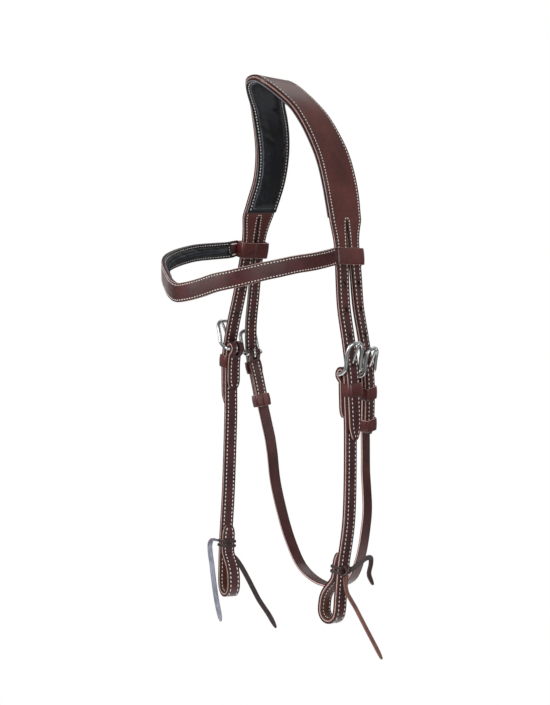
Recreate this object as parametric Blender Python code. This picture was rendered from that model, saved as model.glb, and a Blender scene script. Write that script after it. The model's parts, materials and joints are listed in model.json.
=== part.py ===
"""A headstall: padded crown, browband, two cheeks with tied bit loops, and a throatlatch.

Metres, +Z up. The horse faces -Y and its left is +X. The origin is on the poll, under the
middle of the crown's pad. Every strap follows a hang line, which gives the strap's inner face
on one side of the head, and every piece on a strap is placed by its run down that line, its
lift off that face and its distance across the strap.
"""
import math

import bmesh
import bpy
import numpy as np
from mathutils import Vector

# Leather, foam and wire
PLY = 0.00255
CLEARANCE = 0.0003
STRAP_WIDTH = 0.0124
THROAT_STRAP_WIDTH = 0.0110
WIRE = 0.0038
TONGUE_WIRE = 0.0028
LINING = 0.0012
KEEPER_WALL = 0.0016
THONG_WIDTH = 0.0040
THONG_THICKNESS = 0.0016

# The crown over the poll
CROWN_SPREAD = 0.0714
CROWN_SET_BACK = 0.0560
CROWN_DROP = 0.1277
CROWN_PAD_HEIGHT = 0.0060
CROWN_PAD_MARGIN = 0.0045
CROWN_PAD_REACH_SHARE = 0.965
SLIT_WIDTH = 0.0008

# The straps' hang from the poll
HANG_DROP = 0.5125
HANG_SPREAD = 0.1065
HANG_BACK = 0.0680
BILLET_ROOT_WIDTH = 0.0161
BILLET_NECK_SPARE = 0.0003

# The browband
BROWBAND_DROP = 0.1605
BROWBAND_REACH = 0.1085
BROWBAND_SPREAD = 0.0855
BROWBAND_DIP = 0.0325
BROWBAND_END_HEIGHT = 0.0165
BROWBAND_HEIGHT = 0.0184
BROWBAND_PLY = 0.0026
BROWBAND_PAD_HEIGHT = 0.0052
BROWBAND_PAD_MARGIN = 0.0032
LOOP_HEIGHT = 0.0160
LOOP_WALL = 0.0018
LOOP_PLAY = 0.0016

# Each buckle's bar, down from the poll
CHEEK_BAR_DROP = {"left": 0.2693, "right": 0.2588}
THROAT_BAR_DROP = {"left": 0.2723, "right": 0.2660}

# The buckles: how far the frame stands above its bar and out from it
BUCKLE_RISE = {"left": 0.0265, "right": 0.0200}
BUCKLE_REACH = {"left": 0.0223, "right": 0.0283}
THROAT_BUCKLE_RISE = {"left": 0.0240, "right": 0.0190}
THROAT_BUCKLE_REACH = {"left": 0.0175, "right": 0.0205}
BUCKLE_PLAY = 0.0006
TONGUE_PLAY = 0.0006
TONGUE_REST = 0.0004
TONGUE_EYE_PLAY = 0.0007
SLOT_LENGTH_BELOW = 0.0056
HOLE_WIDTH = 0.0038
HOLE_PITCH = 0.0254
HOLES_ABOVE = 3
CHEEK_HOLE_RISE = 0.0353
THROAT_HOLE_RISE = 0.0375

# Where the billets bend above the buckles, and how far their ends hang below the bars
CHEEK_BEND_RISE = 0.0285
THROAT_BEND_RISE = 0.0272
CHEEK_TAIL_DROP = 0.0630
THROAT_TAIL_DROP = 0.0590
TAIL_POINT = 0.0130
CHEEK_RETURN = 0.0430
THROAT_RETURN = 0.0580
RETURN_POINT = 0.0100

# Keepers, below their bars
KEEPER_HEIGHT = 0.0124
KEEPER_CORNER = 0.0012
KEEPER_PLAY = 0.0005
CHEEK_KEEPER_DROP = 0.0154
THROAT_KEEPER_DROP = {"left": 0.0180, "right": 0.0150}
RUNNING_KEEPER_DROP = 0.0500

# Bit loops and their ties, down from the poll
BIT_LOOP_DROP = {"left": 0.5120, "right": 0.5150}
RETURN_END_DROP = 0.4430
LOOP_LENGTH = 0.0460
TIE_SET = 0.0012
LOOP_DEPTH = 0.0205
KNOT_HEIGHT = 0.0088
KNOT_LIFT = 0.0042
TAIL_REACH = 0.0400
TAIL_FALL = 0.0890
TAIL_ROOT = 0.0040

# The crown's front and rear edges on the left half, from the poll to the slit's top:
# out in CROWN_SPREAD, back in CROWN_SET_BACK, up in CROWN_DROP
CROWN_FRONT_SHARES = (
    (0.000, -0.380, 0.0690), (0.090, -0.385, 0.064), (0.170, -0.375, 0.046), (0.245, -0.320, 0.017),
    (0.315, -0.240, -0.022), (0.385, -0.142, -0.070), (0.450, -0.035, -0.125), (0.545, 0.110, -0.243),
    (0.620, 0.230, -0.376), (0.690, 0.320, -0.512), (0.791, 0.364, -0.707), (0.903, 0.339, -0.861),
    (0.953, 0.326, -0.932), (1.000, 0.3135, -1.000),
)
CROWN_REAR_SHARES = (
    (0.000, 0.345, 0.0250), (0.060, 0.360, 0.016), (0.115, 0.380, 0.002), (0.170, 0.412, -0.019),
    (0.225, 0.455, -0.046), (0.287, 0.515, -0.082), (0.348, 0.585, -0.125), (0.458, 0.735, -0.224),
    (0.560, 0.863, -0.350), (0.672, 0.960, -0.492), (0.812, 1.003, -0.705), (0.916, 0.972, -0.861),
    (0.960, 0.946, -0.932), (1.000, 0.9200, -1.000),
)

# The front billets and cheeks: down in HANG_DROP, out in HANG_SPREAD, back in HANG_BACK, and
# how many degrees the outer face is turned towards the rear
FRONT_LINE_SHARES = (
    (0.2492, 0.6704, 0.3784, 0.0), (0.2849, 0.7010, 0.3840, 0.0), (0.3132, 0.7240, 0.3780, 0.0),
    (0.3561, 0.7590, 0.3510, 1.0), (0.4068, 0.8110, 0.3180, 2.0), (0.4673, 0.8990, 0.2960, 3.0),
    (0.5259, 0.9650, 0.2870, 3.0), (0.5707, 0.9780, 0.2920, 5.0), (0.6488, 0.9860, 0.3020, 8.0),
    (0.7932, 0.9970, 0.2700, 8.0), (0.8868, 0.9720, 0.1950, 8.0), (0.9415, 0.9620, 0.1660, 8.0),
    (1.0200, 0.9380, 0.1370, 8.0),
)

# The rear billets, down to where their ends stop, in the same shares
REAR_LINE_SHARES = (
    (0.2492, 0.6704, 0.6265, 0.0), (0.2849, 0.7060, 0.5960, 0.0), (0.3132, 0.7350, 0.5860, 0.0),
    (0.3561, 0.7700, 0.5740, 5.0), (0.4068, 0.8060, 0.5670, 12.0), (0.4673, 0.8700, 0.5860, 15.0),
    (0.5259, 0.9010, 0.6340, 15.0), (0.5707, 0.8730, 0.6860, 15.0), (0.6234, 0.8290, 0.7320, 15.0),
    (0.6488, 0.8080, 0.7600, 15.0), (0.6900, 0.7740, 0.8050, 15.0),
)

# The throatlatch below them to the middle, in the same shares
THROAT_LINE_SHARES = (
    (0.7229, 0.7560, 0.8290, 13.0), (0.7659, 0.7500, 0.8600, 11.0), (0.8049, 0.7240, 0.8940, 9.0),
    (0.8654, 0.6340, 0.9350, 6.0), (0.9063, 0.5400, 0.9630, 4.0), (0.9410, 0.4150, 0.9850, 2.0),
    (0.9615, 0.2200, 0.9950, 1.0), (0.9680, 0.0000, 1.0000, 0.0),
)

# The browband from its loops to the middle: out in BROWBAND_SPREAD, forward in BROWBAND_REACH,
# and down in BROWBAND_DIP on the left and on the right
BROWBAND_SHARES = (
    (1.000, 0.092, 0.06, 0.000), (0.985, 0.310, 0.14, 0.035), (0.945, 0.455, 0.23, 0.100),
    (0.885, 0.570, 0.31, 0.160), (0.805, 0.695, 0.42, 0.260), (0.680, 0.800, 0.54, 0.385),
    (0.525, 0.875, 0.65, 0.545), (0.350, 0.930, 0.81, 0.745), (0.170, 0.980, 0.94, 0.910),
    (0.000, 1.000, 1.00, 1.000),
)

# Half of the buckle's frame from the bar's middle to the arch's: across in the half width, up in
# its rise, out in its reach
BUCKLE_SHARES = (
    (0.00, 0.00, 0.00), (0.45, 0.00, 0.00), (0.84, 0.00, 0.00), (0.98, 0.00, 0.06),
    (1.00, 0.01, 0.18), (1.00, 0.04, 0.36), (1.00, 0.13, 0.51), (1.00, 0.29, 0.59),
    (1.00, 0.48, 0.67), (1.00, 0.66, 0.77), (0.94, 0.81, 0.87), (0.78, 0.92, 0.94),
    (0.46, 0.98, 0.985), (0.00, 1.00, 1.00),
)

# The bit loop's inner side, from the bottom arc up to where the leaves close: up in LOOP_LENGTH,
# in from the outer leaf in LOOP_DEPTH
BIT_LOOP_SHARES = ((0.30, 1.00), (0.46, 0.97), (0.62, 0.82), (0.78, 0.55), (0.91, 0.33))

# Where the returned ends' rows lie, in their lengths
CHEEK_RETURN_SHARES = (1.0, 0.88, 0.76, 0.5, 0.25, 0.165)
THROAT_RETURN_SHARES = (1.0, 0.92, 0.84, 0.6, 0.35, 0.14)
LOOP_RETURN_SHARES = (0.05, 0.25, 0.55, 0.8, 1.0)
POINT_SHARES = (0.75, 0.5, 0.25, 0.1, 0.0)
BLUNT_SHARE = 0.16

# Where the tongue's rings lie along its straight shank
SHANK_SHARES = (0.25, 0.5, 0.75, 1.0)

# The knot's rise over its wrap: across in the half width, out in KNOT_LIFT
KNOT_SHARES = ((0.75, 0.38), (0.30, 0.89), (-0.30, 0.89), (-0.75, 0.38))

# The ties' tails beyond their roots, from the knot: out in TAIL_REACH, back in TAIL_REACH, down in
# TAIL_FALL
TAIL_SHARES = {
    "left_tie_long_tail": (
        (0.03, -0.11, 0.22), (0.03, 0.13, 0.39), (0.02, 0.48, 0.65), (0.00, 0.80, 0.88),
        (-0.02, 0.98, 1.01),
    ),
    "left_tie_short_tail": (
        (0.04, 0.45, -0.13), (0.00, 0.62, -0.11), (-0.04, 0.63, -0.02), (-0.05, 0.60, 0.06),
        (-0.03, 0.71, 0.18),
    ),
    "right_tie_long_tail": (
        (-0.03, 0.31, 0.17), (-0.11, 0.50, 0.28), (-0.20, 0.73, 0.48), (-0.30, 0.97, 0.71),
        (-0.42, 1.20, 0.89), (-0.52, 1.36, 1.05),
    ),
    "right_tie_short_tail": (
        (0.11, -0.22, -0.02), (0.13, -0.26, 0.08), (0.11, -0.22, 0.25), (0.09, -0.17, 0.46),
        (0.06, -0.10, 0.70), (0.02, 0.00, 0.94),
    ),
}

# Which way each tail leaves the wrap: across it, out of it and down it
TAIL_ROOTS = {
    "left_tie_long_tail": (0, 0, 1), "left_tie_short_tail": (1, 0, 0),
    "right_tie_long_tail": (0, 0, 1), "right_tie_short_tail": (0, 1, 0),
}

# The padded linings' arch, as across in the half width inside the margins and depth in the height,
# and the depth left at their ends
PAD_ARCH_SHARES = ((0.0, 1.0), (0.45, 0.86), (0.82, 0.47))
PAD_END_SHARE = 0.12
LINING_START_SHARE = 0.2

# Counts and angles
LINE_STEPS = 8
THROAT_STEPS = 2
BILLET_ROWS = 10
LEAF_ROWS = 15
TAIL_STEPS = 2
END_ROWS = 7
FOLD_STEPS = 9
LOOP_STEPS = 9
ROUND_STEPS = 6
WIRE_SIDES = 6
BEND_SIDES = 24
HOLE_SIDES = 8
CORNER_STEPS = 2
SHARP_ANGLE = math.radians(50)
FOLD_TURN = math.radians(215)
THROAT_FOLD_TURN = math.radians(220)
TONGUE_TURN = math.radians(255)
ROUND_TURN = math.radians(79)
OBLIQUE = (0.31, 0.52, 0.79)

DOUBLED = 2 * PLY + CLEARANCE
LEAF_LIFT = -CLEARANCE - DOUBLED / 2
CHEEK_FOLD = WIRE / 2 + CLEARANCE + DOUBLED / 2
THROAT_LEAF_LIFT = -CLEARANCE - PLY / 2
THROAT_FOLD = WIRE / 2 + CLEARANCE + PLY / 2
BUCKLE_SPARE = BUCKLE_PLAY + WIRE / 2
CUT_OVERRUN = 0.0040


def unit(vector):
    """The vector at a length of one."""
    return vector / np.linalg.norm(vector)


def curve_through(points, steps):
    """Points along a smooth curve through the given points, which it keeps."""
    rows = np.asarray(points, dtype=float)
    slopes = np.gradient(rows, axis=0)
    spans = []
    for first, last, out, into in zip(rows[:-1], rows[1:], slopes[:-1], slopes[1:]):
        for step in range(steps):
            k = step / steps
            spans.append(
                first * (2 * k**3 - 3 * k**2 + 1) + out * (k**3 - 2 * k**2 + k)
                + last * (3 * k**2 - 2 * k**3) + into * (k**3 - k**2)
            )
    spans.append(rows[-1])
    return np.array(spans)


class HangLine:
    """A strap's inner face on one side of the head, and the directions on it."""

    def __init__(self, shares, side):
        rows = curve_through(shares, LINE_STEPS)
        self.points = np.column_stack(
            (side * HANG_SPREAD * rows[:, 1], HANG_BACK * rows[:, 2], -HANG_DROP * rows[:, 0])
        )
        self.toe = np.radians(rows[:, 3])
        self.side = side
        self.tangents = np.gradient(self.points, axis=0)
        self.runs = np.concatenate(
            ([0.0], np.cumsum(np.linalg.norm(np.diff(self.points, axis=0), axis=1)))
        )

    def run_at(self, drop):
        """How far down the line a drop below the poll lies."""
        return float(np.interp(drop, -self.points[:, 2], self.runs))

    def frame(self, run):
        """The point at a run, and the directions across the strap, out of it and down it."""
        def along(values):
            return np.array([np.interp(run, self.runs, column) for column in values.T])

        down = unit(along(self.tangents))
        toe = np.interp(run, self.runs, self.toe)
        across = np.array((-self.side * math.sin(toe), math.cos(toe), 0.0))
        across = unit(across - down * (across @ down))
        out = np.cross(across, down) * -self.side
        return along(self.points), across, out, down

    def at(self, run, lift=0.0, across=0.0):
        """The point at a run down the line, a lift off it and a distance across it."""
        point, aside, out, _ = self.frame(run)
        return point + out * lift + aside * across


def make_material(name, colour, roughness, metallic=0.0):
    """A plain material of one colour."""
    material = bpy.data.materials.new(name)
    material.use_nodes = True
    shader = material.node_tree.nodes["Principled BSDF"]
    shader.inputs["Base Color"].default_value = (*colour, 1.0)
    shader.inputs["Roughness"].default_value = roughness
    shader.inputs["Metallic"].default_value = metallic
    return material


def add_object(name, mesh_data, material, origin=(0.0, 0.0, 0.0), smooth=False):
    """One closed piece, with its origin at a point and its faces turned outward."""
    origin = Vector(origin)
    mesh = bpy.data.meshes.new(name)
    bmesh.ops.remove_doubles(mesh_data, verts=mesh_data.verts, dist=CLEARANCE / 100)
    bmesh.ops.recalc_face_normals(mesh_data, faces=mesh_data.faces)
    bmesh.ops.translate(mesh_data, verts=mesh_data.verts, vec=-origin)
    mesh_data.to_mesh(mesh)
    mesh_data.free()
    if smooth:
        mesh.shade_smooth()
        mesh.set_sharp_from_angle(angle=SHARP_ANGLE)
    mesh.materials.append(material)
    piece = bpy.data.objects.new(name, mesh)
    piece.location = origin
    bpy.context.scene.collection.objects.link(piece)
    return piece


def skin(sections, closed=False, mesh_data=None):
    """A closed skin over sections of equal point counts, capped unless the sections close."""
    mesh_data = mesh_data or bmesh.new()
    rings = [[mesh_data.verts.new(tuple(point)) for point in section] for section in sections]
    pairs = list(zip(rings[:-1], rings[1:]))
    if closed:
        pairs.append((rings[-1], rings[0]))
    for one, two in pairs:
        for here in range(len(one)):
            there = (here + 1) % len(one)
            mesh_data.faces.new((one[here], one[there], two[there], two[here]))
    if not closed:
        mesh_data.faces.new(list(reversed(rings[0])))
        mesh_data.faces.new(rings[-1])
    return mesh_data


def tube(points, radius, closed=False, sides=WIRE_SIDES):
    """A round wire along a path of points."""
    points = np.asarray(points)
    if closed:
        tangents = np.roll(points, -1, axis=0) - np.roll(points, 1, axis=0)
    else:
        tangents = np.gradient(points, axis=0)
    side = unit(np.cross(tangents[0], OBLIQUE))
    sections = []
    for point, tangent in zip(points, tangents):
        tangent = unit(tangent)
        side = unit(side - tangent * (side @ tangent))
        other = np.cross(tangent, side)
        sections.append([
            point + radius * (side * math.cos(turn) + other * math.sin(turn))
            for turn in np.linspace(0.0, 2 * math.pi, sides, endpoint=False)
        ])
    return skin(sections, closed)


def cylinder_between(start, end, radius, sides, mesh_data):
    """Adds a capped cylinder between two points."""
    start, end = np.asarray(start), np.asarray(end)
    down = unit(end - start)
    side = unit(np.cross(down, OBLIQUE))
    other = np.cross(down, side)
    turns = np.linspace(0.0, 2 * math.pi, sides, endpoint=False)
    ring = [radius * (side * math.cos(turn) + other * math.sin(turn)) for turn in turns]
    skin([[start + point for point in ring], [end + point for point in ring]], mesh_data=mesh_data)


def add_cutter(name, mesh_data):
    """A hidden piece that only cuts others."""
    cutter = add_object(name, mesh_data, MATERIALS["leather"])
    cutter.hide_render = True
    cutter.display_type = "WIRE"
    return cutter


def cut(piece, cutter):
    """Takes the cutter's shape out of a piece."""
    modifier = piece.modifiers.new("Cut by " + cutter.name, "BOOLEAN")
    modifier.operation = "DIFFERENCE"
    modifier.solver = "EXACT"
    modifier.object = cutter


def section_path(path, low, high):
    """The low and high sides of a leaf whose middle follows a path of run and lift."""
    path = np.asarray(path)
    tangents = np.gradient(path, axis=0)
    normals = np.column_stack((-tangents[:, 1], tangents[:, 0]))
    normals /= np.linalg.norm(normals, axis=1)[:, None]
    return path + normals * low, path + normals * high


def leaf(line, path, low, high, half_widths):
    """A strap's skin whose middle follows a path of run and lift on a hang line."""
    lows, highs = section_path(path, low, high)
    sections = []
    for inner, outer, half in zip(lows, highs, half_widths):
        sections.append([
            line.at(inner[0], inner[1], -half), line.at(inner[0], inner[1], half),
            line.at(outer[0], outer[1], half), line.at(outer[0], outer[1], -half),
        ])
    return skin(sections)


def tapered(path, half, point, start=True, end=True, blunt_share=0.3):
    """Half widths along a path that narrows to its ends over the point's length."""
    path = np.asarray(path)
    runs = np.concatenate(([0.0], np.cumsum(np.linalg.norm(np.diff(path, axis=0), axis=1))))
    near = runs if start else np.full_like(runs, runs[-1])
    far = runs[-1] - runs if end else np.full_like(runs, runs[-1])
    share = np.clip(np.minimum(near, far) / point, 0.0, 1.0)
    return half * (blunt_share + (1 - blunt_share) * np.sqrt(share * (2 - share)))


def crown_rows():
    """The crown's four columns of points from the right slit over the poll to the left slit."""
    scale = np.array((CROWN_SPREAD, CROWN_SET_BACK, CROWN_DROP))
    halves = []
    for shares in (CROWN_FRONT_SHARES, CROWN_REAR_SHARES):
        rows = np.array(shares) * scale
        mirrored = rows[:0:-1] * np.array((-1, 1, 1))
        halves.append(np.concatenate((mirrored, rows)))
    front, rear = halves
    middle = (front + rear) / 2
    slit = (rear - front) / np.linalg.norm(rear - front, axis=1)[:, None] * SLIT_WIDTH / 2
    return np.stack((front, middle - slit, middle + slit, rear), axis=1)


def billet_rows(lines, stops):
    """The two billets' edges below the slit, as rows of four points."""
    rows = []
    for step in range(1, BILLET_ROWS + 1):
        row = []
        for line, stop, width in zip(lines, stops, (STRAP_WIDTH, THROAT_STRAP_WIDTH)):
            run = stop * step / BILLET_ROWS
            half = np.interp(
                run,
                (0.0, line.run_at(BROWBAND_DROP - LOOP_HEIGHT), line.run_at(BROWBAND_DROP)),
                (BILLET_ROOT_WIDTH / 2, width / 2 + BILLET_NECK_SPARE, width / 2),
            )
            row += [line.at(run, 0.0, -half), line.at(run, 0.0, half)]
        rows.append(row)
    return np.array(rows)


def sheet(rows, forked, low, high):
    """A leather sheet on a grid of points, without its middle column where it is forked."""
    along = np.gradient(rows, axis=0)
    across = rows[:, -1] - rows[:, 0]
    out = np.cross(along, across[:, None, :])
    out /= np.linalg.norm(out, axis=2)[:, :, None]
    out *= np.sign(out[len(rows) // 2, 0, 2])
    mesh_data = bmesh.new()
    levels = [
        [[mesh_data.verts.new(tuple(point + normal * lift)) for point, normal in zip(row, normals)]
         for row, normals in zip(rows, out)]
        for lift in (low, high)
    ]
    columns = rows.shape[1] - 1
    kept = {
        (i, j) for i in range(len(rows) - 1) for j in range(columns)
        if not (j == 1 and (forked[i] or forked[i + 1]))
    }
    for i, j in kept:
        for level in levels:
            mesh_data.faces.new((level[i][j], level[i + 1][j], level[i + 1][j + 1], level[i][j + 1]))
        edges = (
            ((i - 1, j), (i, j), (i, j + 1)), ((i + 1, j), (i + 1, j), (i + 1, j + 1)),
            ((i, j - 1), (i, j), (i + 1, j)), ((i, j + 1), (i, j + 1), (i + 1, j + 1)),
        )
        for neighbour, one, two in edges:
            if neighbour not in kept:
                mesh_data.faces.new((
                    levels[0][one[0]][one[1]], levels[0][two[0]][two[1]],
                    levels[1][two[0]][two[1]], levels[1][one[0]][one[1]],
                ))
    return mesh_data


def crown_frames(reach_share):
    """The crown's middle line over the poll, with its directions and half widths."""
    rows = crown_rows()
    middle = (rows[:, 0] + rows[:, 3]) / 2
    runs = np.concatenate(([0.0], np.cumsum(np.linalg.norm(np.diff(middle, axis=0), axis=1))))
    centre = runs[-1] / 2
    along = np.gradient(rows, axis=0)
    frames = []
    for index in range(len(rows)):
        share = abs(runs[index] - centre) / centre
        if share > reach_share:
            continue
        across = rows[index, 3] - rows[index, 0]
        half = np.linalg.norm(across) / 2
        out = unit(np.cross(across, (along[index, 0] + along[index, 3]) / 2))
        out *= math.copysign(1, out[2])
        frames.append((middle[index], unit(across), out, half, share / reach_share))
    return frames


def pad_profile(half, margin, height, gap, hollow):
    """Half of a padded lining's section: across and depth, from its middle to its edge."""
    inner = half - margin
    least = gap + 3 * CLEARANCE
    arch = [(across, max(height * up, least)) for across, up in PAD_ARCH_SHARES]
    if hollow:
        outer = [(inner * share, depth + LINING) for share, depth in arch]
        outer += [(inner, gap + LINING), (half, gap + LINING)]
        cavity = [(inner * share, depth) for share, depth in reversed(arch)]
        return outer, [(half, gap), (inner, gap)] + cavity
    crest = [((inner - 2 * CLEARANCE) * share, depth - CLEARANCE) for share, depth in arch]
    return crest, [(crest[-1][0], gap + CLEARANCE)]


def padded_sections(frames, margin, height, gap, hollow):
    """Sections of a padded lining, or of the foam in it, along frames on a strap's inner face."""
    sections = []
    for point, across, out, half, share in frames:
        fade = max(1.0 - share**6, PAD_END_SHARE)
        outer, back = pad_profile(half, margin, height * fade, gap, hollow)
        loop = [(-a, depth) for a, depth in reversed(outer[1:])] + outer + back
        loop += [(-a, depth) for a, depth in reversed(back[:-1] if hollow else back)]
        sections.append([point + across * a - out * depth for a, depth in loop])
    return sections


def rounded_outline(half, low, high, radius):
    """A rectangle with round corners, as points across and out."""
    corners = (
        (half - radius, high - radius, 0), (-half + radius, high - radius, 1),
        (-half + radius, low + radius, 2), (half - radius, low + radius, 3),
    )
    outline = []
    for a, n, quarter in corners:
        for step in range(CORNER_STEPS + 1):
            turn = (quarter + step / CORNER_STEPS) * math.pi / 2
            outline.append((a + radius * math.cos(turn), n + radius * math.sin(turn)))
    return outline


def band(frame, half, low, high, wall, height, bump=0.0):
    """A leather band round a stack of straps, and a knot on its outer face where it has one."""
    point, across, out, down = frame
    inner = rounded_outline(half, low, high, KEEPER_CORNER / 2)
    outer = rounded_outline(half + wall, low - wall, high + wall, KEEPER_CORNER + wall / 2)
    if bump:
        knot = [(half * across, bump * up) for across, up in KNOT_SHARES]
        after = CORNER_STEPS + 1
        inner[after:after] = [(a, high) for a, _ in knot]
        outer[after:after] = [(a, high + wall + rise) for a, rise in knot]
    sections = []
    for (a, n), (b, m) in zip(inner, outer):
        near, far = point + across * a + out * n, point + across * b + out * m
        step = down * height / 2
        sections.append([near - step, far - step, far + step, near + step])
    return skin(sections, closed=True)


def cheek_path(line, bar, loop_drop):
    """The cheek strap's middle: tip, return, fold at the bar, leaf, bit loop, return and end."""
    bar_lift = LEAF_LIFT - CHEEK_FOLD
    back_lift = LEAF_LIFT - DOUBLED - CLEARANCE
    path = [(bar + CHEEK_RETURN * share, back_lift) for share in CHEEK_RETURN_SHARES]
    for step in range(FOLD_STEPS + 1):
        turn = FOLD_TURN * (1 - step / FOLD_STEPS)
        path.append((bar - CHEEK_FOLD * math.sin(turn), bar_lift + CHEEK_FOLD * math.cos(turn)))
    bottom = line.run_at(loop_drop) - DOUBLED / 2
    radius = LOOP_DEPTH / 2
    start = bar + CHEEK_RETURN / 4
    stop = bottom - radius
    path += [(run, LEAF_LIFT) for run in np.linspace(start, stop, LEAF_ROWS)]
    for step in range(1, LOOP_STEPS + 1):
        turn = math.pi * step / LOOP_STEPS
        path.append((stop + radius * math.sin(turn), LEAF_LIFT - radius + radius * math.cos(turn)))
    path += [(bottom - LOOP_LENGTH * up, LEAF_LIFT - LOOP_DEPTH * deep) for up, deep in BIT_LOOP_SHARES]
    end = line.run_at(RETURN_END_DROP)
    shut = bottom - LOOP_LENGTH
    path += [(shut + (end - shut) * share, back_lift) for share in LOOP_RETURN_SHARES]
    return path


def throat_path(line, bar):
    """One end of the throatlatch: tip, return, fold at the bar and the top of the main leaf."""
    bar_lift = THROAT_LEAF_LIFT - THROAT_FOLD
    back_lift = THROAT_LEAF_LIFT - PLY - CLEARANCE
    path = [(bar + THROAT_RETURN * share, back_lift) for share in THROAT_RETURN_SHARES]
    for step in range(FOLD_STEPS + 1):
        turn = THROAT_FOLD_TURN * (1 - step / FOLD_STEPS)
        path.append((bar - THROAT_FOLD * math.sin(turn), bar_lift + THROAT_FOLD * math.cos(turn)))
    start = bar + THROAT_RETURN / 5
    path += [(run, THROAT_LEAF_LIFT) for run in np.linspace(start, line.runs[-1], END_ROWS)]
    return path


def buckle_path(line, bar, bar_lift, rise, reach, width):
    """The buckle frame's wire as one closed path."""
    half_frame = width / 2 + BUCKLE_SPARE
    half = [(half_frame * a, rise * up, reach * out) for a, up, out in BUCKLE_SHARES]
    other = [(-a, up, out) for a, up, out in reversed(half[1:-1])]
    return [line.at(bar - up, bar_lift + out, a) for a, up, out in half + other]


def tongue_section(bar_lift, rise, reach):
    """The tongue's hook round the bar, its shank's root and the tip that rests on the arch, in up and lift."""
    eye = WIRE / 2 + TONGUE_EYE_PLAY + TONGUE_WIRE / 2
    rest = WIRE / 2 + TONGUE_REST + TONGUE_WIRE / 2
    distance = math.hypot(rise, reach)
    lean = math.atan2(reach, rise) + math.asin((rest - eye) / distance)
    way = np.array((math.cos(lean), math.sin(lean)))
    aside = np.array((-way[1], way[0]))
    centre = np.array((0.0, bar_lift))
    hook = []
    for step in range(FOLD_STEPS + 1):
        turn = TONGUE_TURN * (1 - step / FOLD_STEPS)
        hook.append(centre + eye * (aside * math.cos(turn) - way * math.sin(turn)))
    length = math.sqrt(distance**2 - (rest - eye) ** 2) + WIRE / 2
    return hook, hook[-1] + way * length


def billet_runs(bend, round_over, tail):
    """Runs down a billet's end, close together at its rounded top and its point."""
    top = [bend - round_over * math.sin(turn) for turn in np.linspace(ROUND_TURN, 0.0, ROUND_STEPS)]
    body = np.linspace(bend, tail - TAIL_POINT, END_ROWS)[1:]
    return [*top, *body, *(tail - TAIL_POINT * share for share in POINT_SHARES)]


def billet_end(line, bend, tail, ply, width, flat_bend):
    """One ply of a billet's end below its bend, as a skin."""
    middle = DOUBLED / 2
    round_over = width / 2 if flat_bend else middle
    sections = []
    for run in billet_runs(bend, round_over, tail):
        rise = max(bend - run, 0.0)
        spread = math.sqrt(max(round_over**2 - rise**2, 0.0))
        tip = np.clip((tail - run) / TAIL_POINT, 0.0, 1.0)
        half = width / 2 * (BLUNT_SHARE + (1 - BLUNT_SHARE) * math.sqrt(tip))
        low, high = (middle + CLEARANCE / 2, DOUBLED) if ply == "outer" else (0.0, middle - CLEARANCE / 2)
        if flat_bend:
            half = min(half, spread)
        elif ply == "outer":
            high = min(high, middle + spread)
        else:
            low = max(low, middle - spread)
        sections.append([
            line.at(run, low, -half), line.at(run, low, half),
            line.at(run, high, half), line.at(run, high, -half),
        ])
    return skin(sections)


def tongue_hole(root, tip, name):
    """A slanted hole through a billet for the tongue's shank."""
    mesh_data = bmesh.new()
    cylinder_between(root, tip, TONGUE_WIRE / 2 + TONGUE_PLAY, HOLE_SIDES, mesh_data)
    return add_cutter(name, mesh_data)


def fold_slot(line, bar, fold, bar_lift, thickness, name):
    """A slot through a strap's fold for the tongue."""
    half = TONGUE_WIRE / 2 + TONGUE_PLAY
    reach = fold + thickness
    up, down = bar - reach, bar + SLOT_LENGTH_BELOW
    sections = [
        [line.at(run, bar_lift - reach, -half), line.at(run, bar_lift - reach, half),
         line.at(run, bar_lift + reach, half), line.at(run, bar_lift + reach, -half)]
        for run in (up, down)
    ]
    return add_cutter(name, skin(sections))


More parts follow.
